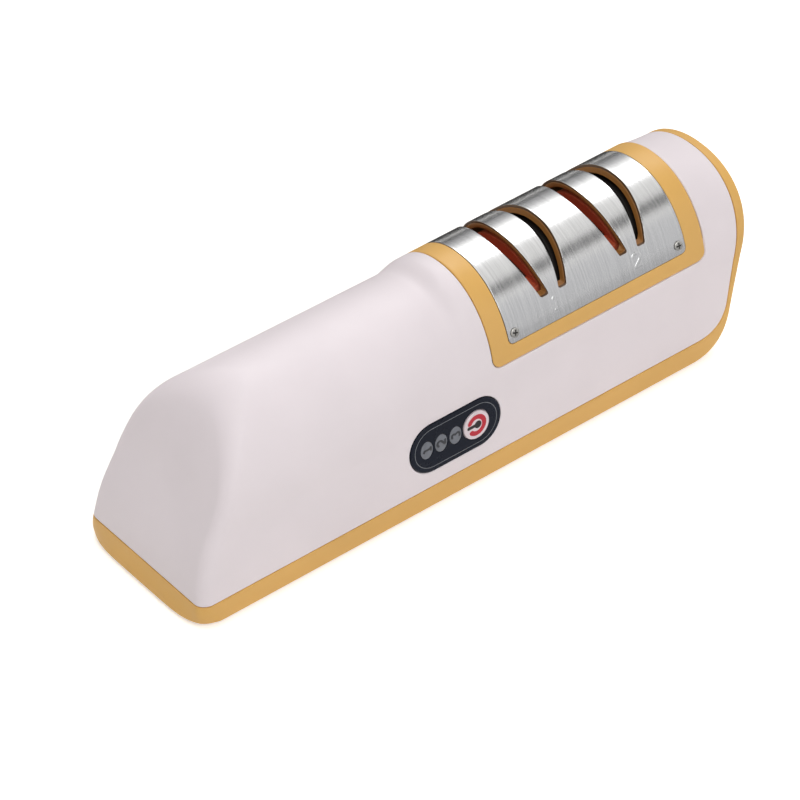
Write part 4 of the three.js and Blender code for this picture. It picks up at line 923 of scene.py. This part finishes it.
PANEL_THICK, TRIM_INSET, TRIM_WIDTH, PRINT, PRINT_DEEP = 1.6, 1.9, 0.26, 0.03, 0.05
LENS_SUNK, LENS_THICK, LENS_CROWN, LENS_EDGE = 0.1, 0.5, 0.12, 0.08
BUTTON_FLANGE, BUTTON_FLANGE_THICK, BUTTON_FLANGE_TOP = 6.2, 0.7, -0.75
BUTTON_RIM, BUTTON_DISH, BUTTON_EDGE = 0.9, 0.12, 0.45
RING_RADIUS, RING_WIDTH, RING_OPEN, RING_TURN = 3.4, 2.0, 0.24, 1.04
MARK_NEAR, MARK_FAR, MARK_HALF, MARK_DOT = 0.6, -3.5, 0.70, 1.6


def panel_stand(x):
    """The panel's face as a flat sheet with its middle at X."""
    return stand(on_panel(x, 0.0, 0.0), ALONG, PANEL_UP, PANEL_OUT)


def panel_oval(x, half_wide, half_high, sign):
    """A limit round an oval on the panel, its distance scaled to the smaller half."""
    def limit(p):
        up = (p - PANEL_POINT) @ PANEL_UP
        reach = np.hypot((p[..., 0] - x) / half_wide, up / half_high)
        return sign * (reach - 1.0) * min(half_wide, half_high)
    return limit


def fascia():
    """The capsule-shaped front: a flat sheet on (X, up), trimmed by the capsule, the button's well
    and the three lens wells, with rounded edges and its own thickness."""
    sheet = lambda v, w, inset: on_panel(PANEL_X + v, w, PANEL_PROUD - inset)
    capsule = outside_capsule(0.0)
    button, wide, high = BUTTON_RADIUS + SEAM, LENS_HALF_WIDTH + SEAM / 2, LENS_HALF_HEIGHT + SEAM / 2
    limits = [(lambda p: -capsule(p), 0.3, round_at(PANEL_X)),
              (panel_oval(BUTTON_X, button, button, -1.0), 0.2, round_at(BUTTON_X))]
    limits += [(panel_oval(x, wide, high, -1.0), 0.12, round_at(x)) for x in LENS_PLACES]
    step = 0.5 * STEP
    knots = [np.arange(-size / 2 - step, size / 2 + 2 * step, step) for size in (PANEL_LENGTH, PANEL_HEIGHT)]
    return walled(limits, knots, [each[::2] for each in knots], 0.0, PANEL_THICK, sheet).build("panel_fascia")


dress(fascia(), ["control_panel"], "panel_dark")


def capsule_path(inset, steps=40):
    """A closed capsule line on the panel, inset from its edge."""
    radius, reach = PANEL_HEIGHT / 2 - inset, (PANEL_LENGTH - PANEL_HEIGHT) / 2
    right, left = arc(reach, 0.0, radius, -0.5, 0.5, steps), arc(-reach, 0.0, radius, 0.5, 1.5, steps)
    return np.vstack([right, left, right[:1]])


trim = Mesh()
carried(trim, capsule_path(TRIM_INSET), TRIM_WIDTH / 2, PANEL_PROUD - PRINT_DEEP, PANEL_PROUD + PRINT,
        panel_stand(PANEL_X), round_ends=False)
dress(trim.build("panel_line"), [], "lens_grey", finish=INK["grey"])

lens_top = PANEL_PROUD - LENS_SUNK
for number, x in enumerate(LENS_PLACES, 1):
    edge = [(1.0, lens_top - LENS_EDGE), (1.0, lens_top - LENS_THICK), (0.0, lens_top - LENS_THICK)]
    profile = np.vstack([face_of(0.9, lens_top, LENS_CROWN, 14), edge])
    dress(turned(f"lens_{number}", profile, panel_stand(x), 72, LENS_HALF_WIDTH, LENS_HALF_HEIGHT),
          [f"indicator_lens_{number}"], "lens_grey")
    sideways = lambda p: panel_stand(x)(p[..., [1, 0, 2]] * (-1.0, 1.0, 1.0))
    dress(numeral(f"lens_numeral_{number}", str(number), 3.4, 0.48, lens_top,
                  lens_top + LENS_CROWN + PRINT, sideways), [], "panel_dark", finish=INK["dark"])


def power_button():
    """A disc with a flat face, a little below its rounded rim, and a flange under it, and the ring
    and mark printed on it."""
    top = PANEL_PROUD + BUTTON_PROUD
    face, foot = top - BUTTON_DISH, BUTTON_FLANGE_TOP - BUTTON_FLANGE_THICK
    profile = np.vstack([
        face_of(BUTTON_RADIUS - BUTTON_RIM, face, 0.0, 12), quarter(BUTTON_RADIUS, top, BUTTON_EDGE, 8),
        [(BUTTON_RADIUS, BUTTON_FLANGE_TOP), (BUTTON_FLANGE, BUTTON_FLANGE_TOP), (BUTTON_FLANGE, foot),
         (0.0, foot)]])
    sheet = panel_stand(BUTTON_X)
    dress(turned("button_cap", profile, sheet, 96), ["power_button"], "button_white", "button")
    low = face - PRINT_DEEP
    turn = np.linspace(RING_TURN + RING_OPEN / 2, RING_TURN + 2 - RING_OPEN / 2, 80) * math.pi
    run = np.linspace(MARK_FAR, MARK_NEAR, 12)
    ring, bar = Mesh(), Mesh()
    carried(ring, RING_RADIUS * np.stack([np.cos(turn), np.sin(turn)], 1), RING_WIDTH / 2, low,
            face + PRINT, sheet)
    carried(bar, np.stack([run, np.zeros(12)], 1), MARK_HALF, low, face + PRINT * 1.4, sheet)
    dress(ring.build("button_ring"), [], "button_white", "button", INK["red"])
    dress(bar.build("button_mark"), [], "button_white", "button", INK["black"])
    for name, x, radius in (("button_dot", MARK_NEAR, MARK_DOT), ("button_tip", MARK_FAR, MARK_HALF * 1.15)):
        high = face + PRINT * 1.6
        blob = [(0.0, high), (radius - 0.1, high), (radius, low), (0.0, low)]
        dress(turned(name, blob, panel_stand(BUTTON_X + x), 40), [], "button_white", "button", INK["black"])


power_button()


# Screws, feet and numerals

SCREW_INSET, SCREW_RISE, SCREW_RADIUS, SCREW_SUNK, SCREW_THICK = 3.1, 3.5, 1.8, 0.1, 0.5
SCREW_TURN, SCREW_TURN_STEP = 0.35, 0.9
CROSS_HALF, CROSS_REACH, CROSS_DEPTH, CROSS_SIDE_SOFT, CROSS_END_SOFT = 0.26, 1.25, 0.42, 0.12, 0.2
FOOT_RADIUS, FOOT_PROUD, FOOT_EDGE, FOOT_DISH, FOOT_DISH_DEPTH, FOOT_LIP = 5.5, 1.2, 0.35, 3.6, 0.15, 0.05
SCREW_EDGE, SCREW_CROWN, SCREW_LOW = 0.3, 0.14, 0.05
STROKE_HALF, STROKE_DEEP, EMBOSS = 0.65, -0.15, 0.12


def skin_w(v, z, side):
    """The value of w at which the outer skin at v has height z, by halving."""
    low, high = np.full(v.shape, 0.3), np.full(v.shape, 1.95)
    for _ in range(40):
        middle = (low + high) / 2
        below = body_point(v, side * (2.0 - middle))[:, 2] < z
        low, high = np.where(below, middle, low), np.where(below, high, middle)
    return side * (2.0 - low)


def surface_stand(x, z, side):
    """A flat sheet laid on the outer skin at X and height z, and the skin's own directions."""
    v = np.array([x - JOIN])
    w = skin_w(v, z, side)
    point = body_point(v, w)[0]
    up = unit(body_point(v, w - side * 1e-3)[0] - body_point(v, w + side * 1e-3)[0])
    along = unit(body_point(v + 0.01, w)[0] - point)
    out = unit(np.cross(along, up))
    return stand(point, along, up, out * np.sign(out[1] * point[1]))


def on_skin(x, z, side):
    """Lays flat places on the curved outer skin: x along it, y up its curve, height out of it."""
    sheet = surface_stand(x, z, side)
    out = sheet((0.0, 0.0, 1.0)) - sheet((0.0, 0.0, 0.0))

    def place(flat_places):
        p = np.reshape(flat_places, (-1, 3))
        flat = sheet(p * (1.0, 1.0, 0.0))
        v = flat[:, 0] - JOIN
        skin_place = body_point(v, skin_w(v, flat[:, 2], side))
        return (skin_place + out * p[:, 2:]).reshape(np.shape(flat_places))
    return place


def cross_dent(x, y):
    """Depth of a cross recess: two soft-edged arms, deepest at the middle."""
    across = lambda a: np.clip((CROSS_HALF - np.abs(a)) / CROSS_SIDE_SOFT + 0.5, 0, 1)
    reach = lambda b: np.clip((CROSS_REACH - np.abs(b)) / CROSS_END_SOFT, 0, 1)
    return CROSS_DEPTH * np.maximum(across(x) * reach(y), across(y) * reach(x))


head = SCREW_SUNK + SCREW_THICK - SCREW_LOW
profile = np.vstack([face_of(SCREW_RADIUS - SCREW_EDGE, head, SCREW_CROWN, 34),
                     quarter(SCREW_RADIUS, head, SCREW_EDGE, 6),
                     [(SCREW_RADIUS, SCREW_SUNK), (0.0, SCREW_SUNK)]])
screw_places = [(x, side) for x in (PLATE_START + SCREW_INSET, PLATE_END - SCREW_INSET) for side in (-1, 1)]
for number, (x, side) in enumerate(screw_places, 1):
    sheet = surface_stand(x, PLATE_FOOT + SCREW_RISE, side)
    turn = np.array(Matrix.Rotation(-SCREW_TURN - SCREW_TURN_STEP * number, 3, "Z"))
    dress(turned(f"plate_screw_head_{number}", profile, lambda p: sheet(p @ turn), 96, dent=cross_dent),
          [f"plate_screw_{number}"], "screw_steel")

sole = SEAM - FOOT_SUNK
profile = np.vstack([face_of(FOOT_DISH, FOOT_PROUD - FOOT_DISH_DEPTH, 0.0, 6),
                     [(FOOT_DISH + FOOT_DISH_DEPTH, FOOT_PROUD - FOOT_LIP)],
                     quarter(FOOT_RADIUS, FOOT_PROUD, FOOT_EDGE, 6), [(FOOT_RADIUS, sole), (0.0, sole)]])
for number, (x, y) in enumerate(((x, side * y) for x, y in FOOT_PLACES for side in (-1, 1)), 1):
    dress(turned(f"foot_pad_{number}", profile, stand((x, y, 0.0), ALONG, -ACROSS, -UPWARD)),
          [f"rubber_foot_{number}"], "rubber_black")

for text, x, z in (("1", STAGES[0] - 0.7, 56.2), ("2", STAGES[1] + 0.6, 56.0)):
    dress(numeral(f"stage_numeral_{text}", text, 5.0, STROKE_HALF, STROKE_DEEP, EMBOSS,
                  on_skin(x, z, -1), 1.0), [], "plate_steel")


# Camera, light and stage

AZIMUTH, ELEVATION, DISTANCE, SCALE = math.radians(-39.061), math.radians(40.523), 1958.3, 2.82265
LOOK_AT, LOOK_X, LOOK_Y, FRAME_SIZE, SENSOR = np.array([125.0, 0.0, 40.0]), 421.44, 346.87, 800.0, 36.0
CLIP, AIM = (0.05, 50.0), np.array([0.0, 0.0, 0.04])
PALE = (1.0, 0.992, 0.965)
WORLD_FILL, FLOOR_GLOW, FLOOR_HALF = 0.42, 0.50, 4.0


def posed(data, across, up, back, place):
    """A camera or lamp with its axes and its place."""
    turn = np.eye(4)
    turn[:3] = np.stack([across, up, back, place], 1)
    holder = linked(data.name, data)
    holder.matrix_world = Matrix(turn)
    return holder


def camera():
    """Stands where the photograph was taken from, with the frame shifted to the same place."""
    right = np.array([math.cos(AZIMUTH), math.sin(AZIMUTH), 0.0])
    level = np.array([-math.sin(AZIMUTH), math.cos(AZIMUTH), 0.0])
    up = level * math.sin(ELEVATION) + np.array([0.0, 0.0, math.cos(ELEVATION)])
    back = np.cross(right, up)
    data = bpy.data.cameras.new("camera")
    data.sensor_width = SENSOR
    data.lens = SCALE * DISTANCE * SENSOR / FRAME_SIZE
    data.shift_x = -(LOOK_X - FRAME_SIZE / 2) / FRAME_SIZE
    data.shift_y = (LOOK_Y - FRAME_SIZE / 2) / FRAME_SIZE
    data.clip_start, data.clip_end = CLIP
    bpy.context.scene.camera = posed(data, right, up, back, placed(LOOK_AT + back * DISTANCE))


def lamp(name, place, size, power):
    """A soft rectangular lamp that faces the object."""
    data = bpy.data.lights.new(name, "AREA")
    data.shape, data.size, data.size_y, data.energy = "RECTANGLE", *size, power
    away = unit(place - AIM)
    across = unit(np.cross((0.0, 0.0, 1.0), away))
    posed(data, across, np.cross(away, across), away, place)


def seen_directly(tree):
    """One where a ray comes from the camera, a gloss or a clear piece, else zero."""
    light = tree.nodes.new("ShaderNodeLightPath")
    value = light.outputs["Is Camera Ray"]
    for name in ("Is Glossy Ray", "Is Transmission Ray"):
        most = tree.nodes.new("ShaderNodeMath")
        most.operation = "MAXIMUM"
        tree.links.new(value, most.inputs[0])
        tree.links.new(light.outputs[name], most.inputs[1])
        value = most.outputs[0]
    return value


def surroundings():
    """The world: pale where it is seen, a weaker fill where it lights."""
    world = bpy.data.worlds.new("surroundings")
    world.use_nodes = True
    bpy.context.scene.world = world
    tree = world.node_tree
    background = tree.nodes["Background"]
    background.inputs["Color"].default_value = (*PALE, 1.0)
    level = tree.nodes.new("ShaderNodeMapRange")
    level.inputs["To Min"].default_value, level.inputs["To Max"].default_value = WORLD_FILL, 1.0
    tree.links.new(seen_directly(tree), level.inputs["Value"])
    tree.links.new(level.outputs["Result"], background.inputs["Strength"])


def stage_card(name, corners, color, glow):
    """A flat, dull, glowing card of the stage. Returns it and its finish."""
    mesh = bpy.data.meshes.new(name)
    mesh.from_pydata(corners, [], [(0, 1, 2, 3)])
    sheet = linked(name, mesh)
    finish = Finish(name, color, 0.9, Specular_IOR_Level=0.0, Emission_Color=(*glow, 1.0),
                    Emission_Strength=1.0)
    mesh.materials.append(finish.material)
    return sheet, finish


def floor():
    """A large pale sheet that keeps the object's shadow and looks white to the camera."""
    corners = [(x * FLOOR_HALF, y * FLOOR_HALF, 0.0) for x, y in ((-1, -1), (1, -1), (1, 1), (-1, 1))]
    _, finish = stage_card("floor", corners, (0.90, 0.89, 0.87), PALE)
    finish.feed("Emission Strength", finish.math("MULTIPLY", seen_directly(finish.tree), FLOOR_GLOW))


def flag(name, corners, shade):
    """A grey card that only gloss sees, as a studio stands beside polished metal."""
    sheet, _ = stage_card(name, corners, (0.0, 0.0, 0.0), (shade, shade, shade))
    sheet.visible_camera = sheet.visible_diffuse = sheet.visible_shadow = sheet.visible_transmission = False


def upright(centre, facing, wide, tall):
    """Four corners of a card round a point, square to a direction."""
    side = unit(np.cross((0.0, 0.0, 1.0), facing)) * wide / 2
    rise = unit(np.cross(facing, side)) * tall / 2
    return [tuple(centre + a * side + b * rise) for a, b in ((-1, -1), (1, -1), (1, 1), (-1, 1))]


def lying(x0, x1, y0, y1, z=0.001):
    """Four corners of a card just above the floor."""
    return [(x0, y0, z), (x1, y0, z), (x1, y1, z), (x0, y1, z)]


camera()
surroundings()
floor()
lamp("key", (-0.10, -0.95, 0.90), (0.9, 0.6), 5.0)
lamp("back", (0.72, 0.80, 1.25), (1.1, 0.50), 8.0)
lamp("top", (-0.25, 0.0, 1.25), (0.6, 0.6), 2.4)
flag("rear_floor_flag", lying(0.04, 0.5, 0.045, 0.5), 0.02)
flag("rear_flag", upright((0.6, 1.2, 0.16), (0.3, 1.0, 0.0), 2.4, 0.30), 0.06)
flag("rear_high_flag", upright((0.6, 1.2, 0.51), (0.3, 1.0, 0.0), 2.4, 0.40), 0.45)
flag("front_flag", upright((0.55, -0.9, 0.30), (0.45, -1.0, 0.0), 1.6, 0.62), 0.74)
flag("upper_flag", upright((0.53, -0.56, 0.745), (0.48, -0.56, 0.675), 0.9, 0.20), 0.05)
flag("front_floor_flag", lying(-0.4, 0.6, -0.7, -0.045), 0.55)

bpy.context.scene.view_settings.view_transform = "Standard"
